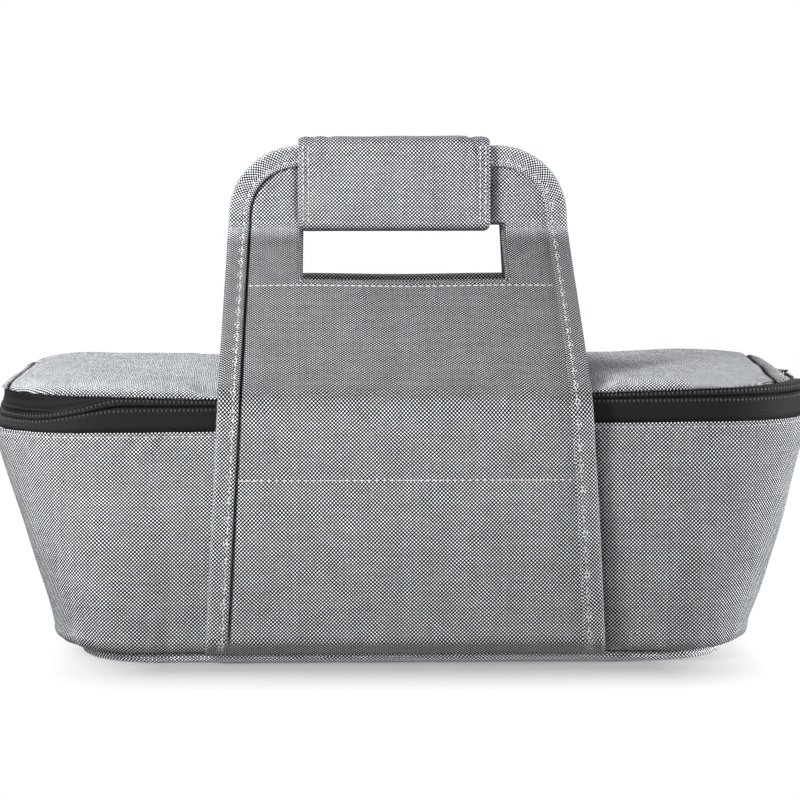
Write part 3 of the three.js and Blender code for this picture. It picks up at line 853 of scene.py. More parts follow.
def make_zipper():
    low = [(128, 3.6), (133, 3.2), (134.6, 2.4), (135.5, 1.3), (139, 1.3)]
    low += [(142, 1.45), (144, 1.4), (145.8, 1.35), (146.6, 1.6)]
    high = [(146.8, 1.6), (147.6, 1.35), (149.4, 1.35), (150.2, 1.35), (151, 1.4)]
    high += [(151.5, 1.45), (151.9, 1.5), (151.9, 2.6), (151.8, 5.2)]
    make_tape_strip("zipper_tape_below", low, "bag", "zip_tape_lower")
    make_tape_strip("zipper_tape_above", high, "lid", "zip_tape_upper")
    apart = 1.75  # each coil from the parting
    make_coil("zipper_coil_below", PARTING - apart, "bag", "zip_coil_lower")
    make_coil("zipper_coil_above", PARTING + apart, "lid", "zip_coil_upper")


def make_hinge_cloth():
    """The cloth that joins the lid to the back wall, from one end of the zipper to the other."""
    heights = np.linspace(*HINGE_CLOTH, 13)
    rows = np.array([draw_in(ring(HINGE, z, 1.3)) for z in heights])
    uv = [level_with(lengths(row), z) for row, z in zip(rows, heights)]
    strip = from_grid("lid_hinge_cloth", rows, np.array(uv))
    thicken(strip, TAPE_CLOTH)
    dress(strip, CANVAS, "woven", "lid_hinge_strip")
    strip_size(rows)
    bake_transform(strip)


# Lid


def edge_distance(x, y, plan):
    """How far a point lies in from a rounded outline."""
    a, b, r = plan
    far_x, far_y = np.abs(x) - (a - r), np.abs(y) - (b - r)
    outside = np.hypot(np.maximum(far_x, 0), np.maximum(far_y, 0))
    return r - outside - np.minimum(np.maximum(far_x, far_y), 0)


def lid_rise(inset, end, crown):
    """Height of the lid's cloth over its edge; it slopes more gently where end is 1."""
    steep = np.sin(math.pi / 2 * np.clip(inset / 18, 0, 1))
    return 0.4 + 6.6 * steep ** (0.34 + 0.4 * end) + crown * smooth(2, 74, inset)


def lid_pressed(x, y, inset):
    """Share of its rise that the lid loses: at its left end, right front, back and under the panels."""
    left = 0.24 * smooth(-196, -239, x) * smooth(75, 0, inset)
    right_front = 0.9 * smooth(-5, -75, y) * smooth(150, 215, x)
    back = 0.27 * smooth(30, 95, y) * smooth(185, 130, x) * smooth(-225, -165, x)
    panels = 0.45 * smooth(126, 112, np.abs(x)) * smooth(100, 118, np.abs(y))
    return left + right_front + back + panels


def make_lid_surface(name):
    """The lid's cloth, from its tucked edge to the line along its middle."""
    slope = (0, 0.15, 0.5, 1.0, 1.7, 2.6, 3.8, 5.4, 7.4, 10, 13, 16.5, 20)  # in from its edge
    outer = ring(ROUND, LID_EDGE, slope[-1], LID)
    reach = LID[0] - LID[1]
    middle = np.column_stack([np.clip(outer[:, 0], -reach, reach), np.zeros((len(outer), 2))])
    tucked = [ring(ROUND, LID_EDGE - 0.5, 1.8, LID), ring(ROUND, LID_EDGE - 0.1, 0.6, LID)]
    rows = tucked + [ring(ROUND, LID_EDGE, inset, LID) for inset in slope]
    rows += [outer + (middle - outer) * t for t in np.linspace(0, 1, 24)[1:]]
    rows = np.array(rows)
    x, y = rows[len(tucked):, :, 0], rows[len(tucked):, :, 1]
    inset = edge_distance(x, y, LID)
    softness = 0.8 * np.sin(x / 31 + 0.4) * np.sin(y / 33 + x / 71 + 0.5)
    softness = softness + 0.4 * np.sin(x / 14) * np.sin(y / 17)
    left_end = smooth(-190, -236, x) * smooth(105, 50, np.abs(y))
    crown = 3.0 - 2.6 * smooth(190, 60, x) * smooth(-225, -165, x)
    rise = lid_rise(inset, left_end, crown) * (1 - lid_pressed(x, y, inset))
    rows[len(tucked):, :, 2] = LID_EDGE + rise + softness * smooth(3, 34, inset)
    steps = np.diff(rows, axis=0)
    spare = np.linalg.norm(steps, axis=2) - np.linalg.norm(steps[:, :, :2], axis=2)
    slack = np.vstack([np.cumsum(spare[::-1], axis=0)[::-1], np.zeros((1, spare.shape[1]))])
    uv = rows[:, :, :2] + ROUND[None, :, 2:] * slack[:, :, None]
    lid = from_grid(name, settle(draw_in(rows)), uv)
    weld(lid)
    return lid


# Of each lid seam: its place at the middle, its lean, and which way is out
SEAMS = {"left": (-226.0, 0.03, -1.0), "right": (219.0, 0.03, 1.0)}


def beyond_seam(points, side):
    """How far a point lies out from a seam, towards its end of the lid."""
    place, lean, way = SEAMS[side]
    return way * (points[:, 0] - place - lean * points[:, 1])


def cut_at_seam(obj, side, offset, keep=None):
    """Cuts a mesh along a seam, offset outwards; keep says which part stays."""
    place, lean, way = SEAMS[side]
    show_only(obj)
    with edit_mode():
        bpy.ops.mesh.bisect(
            plane_co=((place + way * offset) * MM, 0, 0), plane_no=(way, -way * lean, 0),
            clear_inner=keep == "outside", clear_outer=keep == "inside",
        )


def tuck_in(points, side):
    """Turns the cloth down into a seam."""
    out = beyond_seam(points, side)
    above = points[:, 2] - LID_EDGE - rim_lift(points[:, 0], points[:, 1])
    free = smooth(0.8, 3.6, above)
    depth = np.where(out > 0, 2.4, 1.6)
    points[:, 2] -= free * depth * np.exp(-((out / 1.4) ** 2))
    return points


def lid_shading_paint(points):
    """Painted light on the lid's flat, painted shade in its seams and on the end strip beside the right
    one.
    """
    seam = sum(bump(0, 1.5, beyond_seam(points, side)) for side in SEAMS)
    out = beyond_seam(points, "right")
    turned = smooth(11, 1, out) * (out > 0)
    flat = smooth(LID_EDGE + 2, LID_EDGE + 6, points[:, 2])
    return -0.12 * flat + seam + 0.5 * turned


def sew_seam(obj, side, keep, offsets):
    """Cuts the lid's cloth at a seam, the kept part first, and turns it down into the seam."""
    cut_at_seam(obj, side, offsets[0], keep)
    for offset in offsets[1:]:
        cut_at_seam(obj, side, offset)
    move_points(obj, lambda points: tuck_in(points, side))


def finish_lid_cloth(obj, *nodes):
    paint_light_and_shade(obj, lid_shading_paint)
    thicken(obj, CLOTH)
    dress(obj, LID_CANVAS, "woven", *nodes)
    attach(obj, "lid")


def make_lid():
    top = make_lid_surface("lid_top_cloth")
    for side in SEAMS:
        sew_seam(top, side, "inside", (-0.35, -1, -1.8, -2.8, -4.2))
    finish_lid_cloth(top, "lid_top", "lid_foam")
    for side in SEAMS:
        strip = make_lid_surface(f"lid_end_strip_{side}")
        sew_seam(strip, side, "outside", (0.35, 1, 1.8, 2.8, 4.2, 6, 8))
        finish_lid_cloth(strip, f"lid_end_{side}")


def make_lid_lining():
    edge = 4.9  # in from the lid's outline
    insets = np.concatenate([[edge, 5.6, 7, 9], np.linspace(14, 120, 24)])
    rows, uv = [], []
    for inset in insets[::-1]:
        points = ring(ROUND, LID_LINING, inset)
        x, y = points[:, 0], points[:, 1]
        slack = 0.25 * np.sin(x / 17) * np.sin(y / 21) * smooth(9, 30, inset)
        points[:, 2] += 0.5 * smooth(9, edge, inset) + slack + 0.3
        uv.append(points[:, :2].copy())
        points[:, 0] *= 1 - 0.034 * smooth(140, 239, np.abs(x))
        rows.append(points)
    rows = np.array(rows)
    lining = from_grid("lid_lining_cloth", rows, np.array(uv), flip=True)
    fill_middle(lining, rows[0])
    weld(lining)
    face_down(lining)
    thicken(lining, LINING_CLOTH)
    dress(lining, LINING, "lining", "lid_lining")
    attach(lining, "lid")


def face_down(obj):
    """Turns the faces of a level sheet so that they look down."""
    with opened(obj) as mesh:
        wrong = [face for face in mesh.faces if face.normal.z > 0]
        bmesh.ops.reverse_faces(mesh, faces=wrong)


# Handle panels


def rounded(before, tip, after, radius, steps=14):
    """Points round a tip between two straights."""
    first, second = unit(tip - before), unit(after - tip)
    turn = math.acos(float(np.clip(first @ second, -1, 1)))
    back = radius * math.tan(turn / 2)
    start, end = tip - first * back, tip + second * back
    t = np.linspace(0, 1, steps + 1)[:, None]
    return (1 - t) ** 2 * start + 2 * t * (1 - t) * tip + t**2 * end


class PanelPath:
    """Side path of a handle panel's middle, from the base to the top of the grip."""

    def __init__(self):
        heights = np.concatenate([np.linspace(PANEL_FOOT, 20, 16)[:-1], np.linspace(20, SEW_LINE, 44)])
        wall = np.array([(-plan_at(z)[1], z) for z in heights])
        run = unit(np.gradient(wall, axis=0))
        out = 1.0 + (PANEL_OUT - 1.0) * smooth(PANEL_FOOT, 15, heights)
        sewn = wall + np.column_stack([-run[:, 1], run[:, 0]]) * out[:, None]
        bend, fold, top = np.array(BEND), np.array(FOLD), np.array([FOLD[0], GRIP_TOP + 4])
        lower = rounded(sewn[-1], bend, fold, BEND_RADIUS, steps=24)
        upper = rounded(bend, fold, top, FOLD_RADIUS)
        line = np.vstack([sewn, lower, upper, top[None]])
        total = travelled(line)
        self.s = np.arange(0, total[-1], 1.0)
        self.y, self.z = at(self.s, total, line).T
        dy, dz = np.gradient(self.y), np.gradient(self.z)
        size = np.hypot(dy, dz)
        self.ny, self.nz = -dz / size, dy / size

    def s_at(self, z):
        return np.interp(z, self.z, self.s)

    def z_at(self, s):
        return np.interp(s, self.s, self.z)

    def place(self, x, s, height):
        """The point that lies at x across, s along and height out from the panel's middle."""
        y = np.interp(s, self.s, self.y) + np.interp(s, self.s, self.ny) * height
        z = np.interp(s, self.s, self.z) + np.interp(s, self.s, self.nz) * height
        return np.stack(np.broadcast_arrays(x, y, z), axis=-1)

    def outward(self, s):
        y, z = np.interp(s, self.s, self.ny), np.interp(s, self.s, self.nz)
        return np.stack([np.zeros_like(s), y, z], axis=-1)


PATH = PanelPath()


def foot_share(s):
    """The panel thins where it is tucked into the base seam."""
    return 0.3 + 0.7 * smooth(0, 13, s)


def half_width(z):
    return PANEL_WIDE - PANEL_TAPER * (np.asarray(z, float) - PANEL_WIDE_AT)


def half_width_at(z, inset):
    """Half the panel's width at a height, rounded at the top corners."""
    z = np.asarray(z, float)
    start = GRIP_TOP - TOP_CORNER
    middle = half_width(start) - TOP_CORNER
    radius = TOP_CORNER - inset
    curved = middle + np.sqrt(np.clip(radius**2 - np.clip(z - start, 0, radius) ** 2, 0, None))
    return np.where(z > start, curved, half_width(z) - inset)


def slot_edges(label, z):
    """Left and right edge of the hand slot at a height."""
    low, high = SLOT_LOW[label], SLOT_HIGH[label]
    share = np.clip((z - low[2]) / (high[2] - low[2]), 0, 1)
    return tuple(low[i] + (high[i] - low[i]) * share for i in range(2))


def panel_rows(label):
    """Places along the panel, closer near its edges, and which of them hold the slot."""
    bottom, top = PATH.s_at(SLOT_LOW[label][2]), PATH.s_at(SLOT_HIGH[label][2])
    end = PATH.s_at(PANEL_END)
    below = np.concatenate([np.linspace(0, bottom - 9, 118)[:-1], np.linspace(bottom - 9, bottom, 9)])
    inside = np.linspace(bottom, top, 16)[1:]
    above = np.concatenate([np.linspace(top, end - 6, 20)[1:], np.linspace(end - 6, end, 7)[1:]])
    return np.concatenate([below, inside, above]), len(below) - 1, len(below) + len(inside) - 1


def seam_rows():
    """Places along the panel of the two rows of stitches that cross it."""
    return PATH.s_at(SEW_LINE), PATH.s_at(SLOT_LOW["front"][2]) - SLOT_SEAM


def panel_relief(x, s, z, label):
    """Share of the panel's full thickness: less along the seams and at the turned edges."""
    sewn, below_slot = seam_rows()
    inside_x = smooth(100, 94, np.abs(x))
    seam = 0.2 * bump(sewn, 1.7, s) + 0.2 * bump(below_slot, 1.6, s)
    crease = 0.12 * bump(63.6, 1.0, x) * smooth(245, 250, z) * smooth(289, 280, z)
    left_x, right_x = slot_edges(label, z)
    low_z, high_z = SLOT_LOW[label][2], SLOT_HIGH[label][2]
    near_x = np.maximum(np.maximum(left_x - x, x - right_x), 0)
    near_z = np.maximum(np.maximum(low_z - z, z - high_z), 0) * 1.8
    turned = 0.35 * np.exp(-((np.hypot(near_x, near_z) / 2.2) ** 2))
    inside = half_width_at(z, BINDING)
    hollow = 0.5 * bump(0.8, 1.2, inside + x) + 0.15 * bump(0, 2.0, inside - x)
    pressed = 0.6 * (bump(-61.3, 1.0, x) + 0.7 * bump(56.6, 1.0, x))  # at the wrap's ends
    pressed = pressed * smooth(247, 251, z) * smooth(287, 281, z)
    soft = 0.05 * np.sin(x / 13 + s / 41) * np.sin(s / 19 + x / 57)
    share = 1 - seam * inside_x - crease - turned - hollow - pressed + soft
    return np.clip(share * foot_share(s), 0.2, 1.1)


def panel_lift(x, s, z):
    """Slow waves of the panel's middle, in millimetres."""
    loose = smooth(SEW_LINE + 6, SEW_LINE + 40, z)
    grip = smooth(236, 230, z)
    waves = 0.7 * np.sin(x / 37 + 0.8) * np.sin(s / 43 + 0.3) + 0.4 * np.sin(x / 19 + s / 23)
    return loose * grip * waves


def on_side(points, label):
    """Points or directions of the front panel, turned over for the back one."""
    return points * np.array([1.0, -1.0, 1.0]) if label == "back" else points


PANELS = {"front": "front_handle", "back": "back_handle"}


def blend_panel(obj):
    """Bakes the piece's place into its mesh."""
    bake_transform(obj)


def panel_shading_paint(points):
    """Painted shade on the part that leans over the lid, painted light on the grip, and painted shadow
    lines along the binding's inner edge and beside the wrap's ends.
    """
    x, z = points[:, 0], points[:, 2]
    leaning = 0.45 * smooth(143, 158, z) * smooth(241, 235, z) - 0.33 * smooth(238, 246, z)
    crease = 0.9 * bump(0.6, 0.75, half_width_at(z, BINDING) + x) * smooth(12, 20, z)
    grip = bump(-60.9, 1.1, x) + 0.7 * bump(56.2, 0.7, x)
    grip = grip * smooth(243, 249, z) * smooth(289, 283, z)
    return np.clip(leaning + crease + grip, -1, 0.97)


EDGE_COLUMNS = np.array([0, 4, 8, 10, 11, 11.8, 12.6, 13.4, 14.4, 16, 19])  # in from its left edge
SLOT_COLUMNS = np.array([0.4, 1.2, 2.2, 3.6, 5.6])  # out from the slot
INNER_COLUMNS = np.array([0, 1.2, 3.0])  # in from the slot's edge
SLOT_ROOM = 8  # the close columns round the slot reach this far


def panel_columns(label, z, limit):
    """Places across the panel at a height, in three blocks: left of the slot, the slot, right of it."""
    left_x, right_x = slot_edges(label, z)
    near = EDGE_COLUMNS * min(1.0, (left_x - SLOT_ROOM + limit) / 30) - limit
    left = [near, np.linspace(near[-1], left_x - SLOT_ROOM, 9)[1:], left_x - SLOT_COLUMNS[::-1]]
    within = np.linspace(left_x + 6, right_x - 6, 36)
    middle = [left_x + INNER_COLUMNS, within, right_x - INNER_COLUMNS[::-1]]
    start = right_x + SLOT_ROOM
    right = [right_x + SLOT_COLUMNS, np.linspace(start, max(limit, start + 0.2), 20)]
    return [np.concatenate(block) for block in (left, middle, right)]


def make_panel(label):
    rows, slot_low, slot_high = panel_rows(label)
    z = PATH.z_at(rows)
    blocks = [panel_columns(label, *row) for row in zip(z, half_width_at(z, 1.2))]
    x = np.array([np.concatenate(row) for row in blocks])
    s = np.broadcast_to(rows[:, None], x.shape)
    points = PATH.place(x, s, panel_lift(x, s, z[:, None]))
    left, middle, _ = (len(block) for block in blocks[0])
    keep = np.ones((x.shape[0] - 1, x.shape[1] - 1), bool)
    keep[slot_low:slot_high, left:left + middle - 1] = False
    uv = np.stack([x, s], axis=-1)
    panel = from_grid(f"{label}_panel", on_side(points, label), uv, flip=label == "back", keep=keep)
    relief = panel_relief(x, s, z[:, None], label).ravel()
    group = panel.vertex_groups.new(name="thickness")
    for index, share in enumerate(relief):
        group.add([index], float(min(share, 1.0)), "REPLACE")
    drop_loose(panel)
    thicken(panel, 2 * PANEL_HALF, offset=0.0, group="thickness")
    paint_light_and_shade(panel, panel_shading_paint)
    nodes = [f"{label}_{part}{layer}" for part in ("sewn_", "") for layer in ("face", "core", "backing")]
    dress(panel, CANVAS, "woven", *nodes)
    blend_panel(panel)


def sweep(line, sideways, section):
    """Places across and along the panel of a section that is swept along a line on it."""
    swept = line[:, None, :] + sideways[:, None, :] * section[None, :, 0:1]
    return swept[..., 0], swept[..., 1]


def make_slot_facing(label):
    """Rolled cloth edge of the hand slot."""
    (left, right, low), (left_high, right_high, high) = SLOT_LOW[label], SLOT_HIGH[label]
    s_low, s_high = PATH.s_at(low), PATH.s_at(high)
    tips = [(left, s_low), (right, s_low), (right_high, s_high), (left_high, s_high)]
    pitch = 1.2
    line, where = closed_spacing(round_polygon(tips, [1.6] * 4, steps=6), pitch)
    away = outline_normals(line)
    section = np.array([
        (2.8, 2.2), (1.5, 2.5), (0.4, 2.35), (-0.3, 1.75), (-0.65, 0.85), (-0.75, 0),
        (-0.65, -0.85), (-0.3, -1.75), (0.4, -2.35), (1.5, -2.5), (2.8, -2.2),
    ])
    line, away, where = (np.concatenate([part, part[:1]]) for part in (line, away, where))
    where[-1] = where[-2] + pitch
    x, s = sweep(line, away, section)
    points = PATH.place(x, s, section[None, :, 1] + panel_lift(x, s, PATH.z_at(s)))
    uv = np.stack(np.broadcast_arrays(where[:, None], travelled(section)[None, :]), axis=-1)
    facing = from_grid(f"{label}_slot_edge", on_side(points, label), uv, flip=label == "front")
    weld(facing)
    thicken(facing, FACING_CLOTH)
    # Painted shade: the whole slot edge is made darker.
    paint_light_and_shade(facing, evenly(0.5))
    dress(facing, CANVAS, "woven", f"{label}_slot_facing")
    strip_size(points)
    blend_panel(facing)


def panel_outline(inset=0.0, pitch=2.4):
    """Points across and along the panel's edge, from the left foot over the top to the right foot."""
    start = GRIP_TOP - TOP_CORNER
    s_start = PATH.s_at(start)
    s_low = np.arange(0, s_start, 2.0)
    left = np.column_stack([-half_width(PATH.z_at(s_low)), s_low])
    middle = float(half_width(start)) - TOP_CORNER
    turns = np.radians(np.linspace(180, 90, 30))
    arc = np.column_stack([-middle + TOP_CORNER * np.cos(turns), s_start + TOP_CORNER * np.sin(turns)])
    half = np.vstack([left, arc])
    line = np.vstack([half, half[::-1] * np.array([-1.0, 1.0])])
    total = travelled(line)
    where = np.linspace(0, total[-1], int(total[-1] / pitch))
    line = at(where, total, line)
    run = unit(np.gradient(line, axis=0))
    inward = np.column_stack([run[:, 1], -run[:, 0]])
    return line + inward * inset, inward, where


def binding_section():
    """Distances in from the edge and heights of the folded binding, front to back."""
    front = [(BINDING, 3.0), (12.45, 3.6), (12.1, 3.95), (10.6, 4.0), (9.8, 3.8)]
    front += [(9.2, 3.55), (8.6, 3.8), (7, 4.05), (4, 3.95), (2.2, 3.85)]
    turns = np.radians(np.linspace(60, -60, 9))
    edge = [(2.4 - 2.4 * math.cos(t) ** 0.8, 3.95 * math.sin(t)) for t in turns]
    back = [(inset, -height) for inset, height in front[::-1]]
    return np.array(front + edge + back)


def make_binding(label):
    line, inward, where = panel_outline()
    section = binding_section()
    x, s = sweep(line, inward, section)
    pucker = 1 + 0.05 * np.sin(where[:, None] / 1.9) * bump(9.2, 3.0, section[None, :, 0])
    lift = panel_lift(x, s, PATH.z_at(s))
    points = PATH.place(x, np.maximum(s, 0), section[None, :, 1] * foot_share(s) * pucker + lift)
    uv = np.stack(np.broadcast_arrays(travelled(section)[None, :], where[:, None]), axis=-1)
    binding = from_grid(f"{label}_binding_tape", on_side(points, label), uv, flip=label == "front")
    thicken(binding, TAPE_CLOTH)
    paint_light_and_shade(binding, panel_shading_paint)
    dress(
        binding, CANVAS, "woven",
        f"{label}_binding", f"{label}_sewn_binding_left", f"{label}_sewn_binding_right",
    )
    strip_size(points)
    blend_panel(binding)


def stitch_row(x, s, height, side, pitch, lean):
    """Stitches along a line on the panel; side is 1 on its outer face and -1 on its inner face."""
    lift = panel_lift(x, s, PATH.z_at(s))
    points = PATH.place(x, s, side * height * foot_share(s) + lift)
    places, run, where, total = spaced(points, pitch)
    outward = unit(at(where, total, PATH.outward(s) * side))
    across = np.cross(outward, run)
    sign = np.where(np.arange(len(places)) % 2 == 0, 1.0, -1.0)
    return places, unit(run + across * (sign * lean)[:, None]), outward


def sew(name, rows, size, label="front"):
    """Stitches from rows of places, directions along and directions out."""
    places, along, outward = (on_side(np.vstack(part), label) for part in zip(*rows))
    stitches = scatter(name, places, along, outward, size)
    if label == "back":
        stitches.data.flip_normals()
    dress(stitches, THREAD, "woven")
    return stitches


def make_panel_stitches(label):
    """Two rows along the binding that lean to and fro, and two straight rows across the panel."""
    on_binding, on_cloth = 3.62, 2.3  # out from the panel's middle
    rows = []
    for side in (1, -1):
        for inset in (7.6, 9.6):
            edge, _, _ = panel_outline(inset, pitch=1.5)
            x, s = edge[edge[:, 1] > 4].T
            rows.append(stitch_row(x, s, on_binding, side, pitch=2.9, lean=0.6))
        for s in seam_rows():
            reach = float(half_width_at(PATH.z_at(s), BINDING + 1))
            x = np.linspace(-reach, reach, 120)
            rows.append(stitch_row(x, np.full_like(x, s), on_cloth, side, pitch=4.0, lean=0.06))
    blend_panel(sew(f"{label}_panel_stitches", rows, STITCH, label))


# Grip wrap


def round_polygon(tips, radii, steps=8):
    """A closed outline with each tip rounded by its own radius."""
    tips = [np.array(t, float) for t in tips]
    line = []
    for i, (tip, radius) in enumerate(zip(tips, radii)):
        if radius == 0:
            line.append(tip[None])
        else:
            line.append(rounded(tips[i - 1], tip, tips[(i + 1) % len(tips)], radius, steps))
    return np.vstack(line)


def closed_spacing(line, pitch):
    """Evenly spaced points of a closed outline, and how far along it each lies."""
    loop = np.vstack([line, line[:1]])
    total = travelled(loop)
    where = np.linspace(0, total[-1], int(total[-1] / pitch), endpoint=False)
    return at(where, total, loop), where


def outline_normals(line):
    """Directions out from a closed outline that runs anticlockwise."""
    run = unit(np.roll(line, -1, axis=0) - np.roll(line, 1, axis=0))
    return np.column_stack([run[:, 1], -run[:, 0]])


def apart_from(x, z, x0, z0, x1, z1):
    """How far a point of the wrap's face lies from a short line on it."""
    run = np.array([x1 - x0, z1 - z0])
    share = np.clip(((x - x0) * run[0] + (z - z0) * run[1]) / (run @ run), 0, 1)
    return np.hypot(x - x0 - share * run[0], z - z0 - share * run[1])


# Creases where the pad is gathered into the end hems: ends of each, depth and width
WRAP_CREASES = [
    ((-41.5, 297.0, -46.0, 281.0), 1.0, 2.2),
    ((-51.5, 298.0, -50.0, 291.0), 0.9, 1.8),
    ((44.0, 299.0, 47.6, 287.0), 1.9, 1.5),
    ((39.0, 294.0, 40.5, 285.0), 0.6, 1.8),
    ((-49.0, 246.0, -40.0, 252.0), 0.5, 2.0),
]


def wrap_shading_paint(points):
    """Painted shade where the wrap's cloth turns over its top and lower edge, and painted light over the
    rest of it.
    """
    z = points[:, 2]
    return 0.55 * smooth(291, 297, z) + 0.75 * smooth(246.5, 241.5, z) - 0.2


WRAP_PITCH = 1.1
WRAP_END = np.array([0, 0.35, 1.0, 2, 3, 4, 5, 6, 7, 8, 9.5])  # close columns in from each end
WRAP_SEAMS = (2.8, 6.0)  # rows of stitches in from each end


def wrap_push(x, z, inset):
    """How far the wrap's cloth stands out from its plain section."""
    lines = 0.55 * sum(bump(place, 0.7, inset) for place in WRAP_SEAMS)
    plump = smooth(7, 26, inset) * np.sin(math.pi * np.clip((z - 244) / 53, 0, 1)) ** 0.6
    slack = 0.3 * np.sin(x / 9 + z / 13) * np.sin(z / 8 + x / 21) * smooth(8, 20, inset)
    folds = [depth * bump(0, width, apart_from(x, z, *ends)) for ends, depth, width in WRAP_CREASES]
    return plump - 0.9 * wrap_hem(inset) - lines + slack - sum(folds)


def wrap_hem(inset):
    return 1 - smooth(6.5, 13, inset)


def wrap_slice(x, line, normal, side):
    """The wrap's section at a place along it; side is -1 for the front half and 1 for the flap."""
    y, z = line.T
    inset = min(x - WRAP[0], WRAP[1] - x)
    outer = np.maximum(smooth(9.5, 12.5, side * y) * smooth(246, 249, z), smooth(293, 296, z))
    round_end = 0.9 * (1 - np.sqrt(np.clip(inset / 1.2, 0, 1)))
    here = line + normal * (outer * (wrap_push(x, z, inset) - round_end))[:, None]
    here[:, 1] += outer * 0.7 * wrap_hem(inset) * smooth(282, 297, z)
    corner_cut = 4.0 * (1 - np.sqrt(np.clip(1 - (1 - np.clip(inset / 4.5, 0, 1)) ** 2, 0, 1)))
    here[:, 1] += (side < 0) * corner_cut * smooth(252, 241, z) - 0.5 * corner_cut * smooth(288, 297, z)
    if side > 0:
        tongue = (z < 242.6) & (here[:, 0] < 9)
        here[:, 0] = np.where(tongue, 9 - (9 - here[:, 0]) * smooth(2, 4, inset), here[:, 0])
    return np.column_stack([np.full(len(here), x), here])


def close_ends(wrap):
    """Fills both ends of a wrap half and lays the cloth flat on them."""
    with opened(wrap) as mesh:
        bmesh.ops.holes_fill(mesh, edges=[e for e in mesh.edges if e.is_boundary], sides=0)
        layer = mesh.loops.layers.uv.active
        for face in mesh.faces:
            if len(face.verts) > 4:
                for loop in face.loops:
                    loop[layer].uv = loop.vert.co.yz
        bmesh.ops.recalc_face_normals(mesh, faces=mesh.faces)


def wrap_stitch_rows(side):
    """Upright rows of stitches in the hems at both ends."""
    left, right = WRAP
    face_y = side * (13.25 if side < 0 else 13.55)
    first, second = WRAP_SEAMS
    rows = []
    for x in (left + first, left + second, right - second, right - first):
        row = np.array([(x, face_y, z) for z in np.linspace(246.5, 292.5, 60)])
        places, along, _, _ = spaced(row, pitch=3.1)
        rows.append((places, along, np.broadcast_to([0.0, float(side), 0.0], places.shape)))
    return rows


def make_wrap_half(name, tips, radii, side, body, nodes):
    """One half of the padded wrap, with the stitches of its hems."""
    line, where = closed_spacing(round_polygon(tips, radii), WRAP_PITCH)
    following = np.roll(line, -1, axis=0)
    area = 0.5 * float(np.sum(line[:, 0] * following[:, 1] - following[:, 0] * line[:, 1]))
    normal = outline_normals(line) * (1.0 if area > 0 else -1.0)
    left, right = WRAP
    between = np.linspace(left + 11.5, right - 11.5, 54)
    xs = np.concatenate([left + WRAP_END, between, right - WRAP_END[::-1]])
    rows = np.array([wrap_slice(x, line, normal, side) for x in xs])
    rows = np.concatenate([rows, rows[:, :1]], axis=1)
    run = np.append(where, where[-1] + WRAP_PITCH)
    uv = np.stack(np.broadcast_arrays(xs[:, None], run[None, :]), axis=-1)
    wrap = from_grid(name, rows, uv)
    weld(wrap)
    close_ends(wrap)
    paint_light_and_shade(wrap, wrap_shading_paint)
    dress(wrap, CANVAS, "woven", *nodes)
    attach(wrap, body)
    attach(sew(f"{name}_stitches", wrap_stitch_rows(side), WRAP_STITCH), body)


def make_wrap():
    """Both halves, from their outlines seen from the end, with a radius for each tip."""
    front = [(-0.7, 243.8), (-8.4, 243.8), (-8.4, 240.9), (-13.7, 240.9), (-13.7, 297.3)]
    front += [(8.5, 297.3), (8.5, 292.1), (-8.5, 292.1), (-8.5, 244.8), (-0.7, 244.8)]
    make_wrap_half(
        "grip_wrap_front", front, [0, 0, 1.2, 3.6, 6.5, 0.6, 0, 0, 0, 0], -1, "front_handle",
        ("wrap_front_pad", "wrap_front_cover"),
    )
    flap = [(8.8, 297.3), (8.8, 245), (12.9, 244.8), (12.9, 241.7)]
    flap += [(-8.0, 241.7), (-8.0, 240.8), (14.0, 240.8), (14.0, 297.3)]
    make_wrap_half(
        "grip_wrap_flap", flap, [0.6, 0, 0, 0.6, 0.2, 0.2, 1.6, 4.2], 1, "wrap_flap",
        ("wrap_flap_pad", "wrap_flap_cover"),
    )


# Hardware


def bevel_all(obj, width, segments=2):
    """Rounds a piece's sharp edges and shades it smooth."""
    show_only(obj)
    modifier = obj.modifiers.new("edges", "BEVEL")
    modifier.width = width * MM
    modifier.segments = segments
    modifier.limit_method = "ANGLE"
    bpy.ops.object.modifier_apply(modifier=modifier.name)
    bpy.ops.object.shade_smooth_by_angle(angle=math.radians(40))


def add_block(name, low, high):
    """A block between two corners, with its place in its mesh."""
    low, high = np.array(low), np.array(high)
    deselect()
    bpy.ops.mesh.primitive_cube_add(size=1, location=((low + high) / 2 * MM).tolist())
    block = bpy.context.object
    block.name = name
    block.scale = ((high - low) * MM).tolist()
    apply_place()
    return block


def add_cylinder(vertices, radius, depth, place, rotation=(0, 0, 0)):
    deselect()
    bpy.ops.mesh.primitive_cylinder_add(
        vertices=vertices, radius=radius * MM, depth=depth * MM, rotation=rotation,
        location=[value * MM for value in place],
    )
    apply_place()
    return bpy.context.object


def join(name, pieces):
    deselect()
    for piece in pieces:
        piece.select_set(True)
    bpy.context.view_layer.objects.active = pieces[0]
    bpy.ops.object.join()
    joined = bpy.context.object
    joined.name = name
    return joined


def node_box(node):
    """Lowest and highest corner of a CAD node, in millimetres."""
    return [np.array(corner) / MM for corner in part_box(node)]


def pull_pin():
    """Side and depth of the pin that carries the pull, and half the height of the pull."""
    low, high = node_box("zip_slider")
    pull_low, pull_high = node_box("zip_pull")
    return pull_low[0] + 1.9, (low[1] + high[1]) / 2, (pull_high[2] - pull_low[2]) / 2


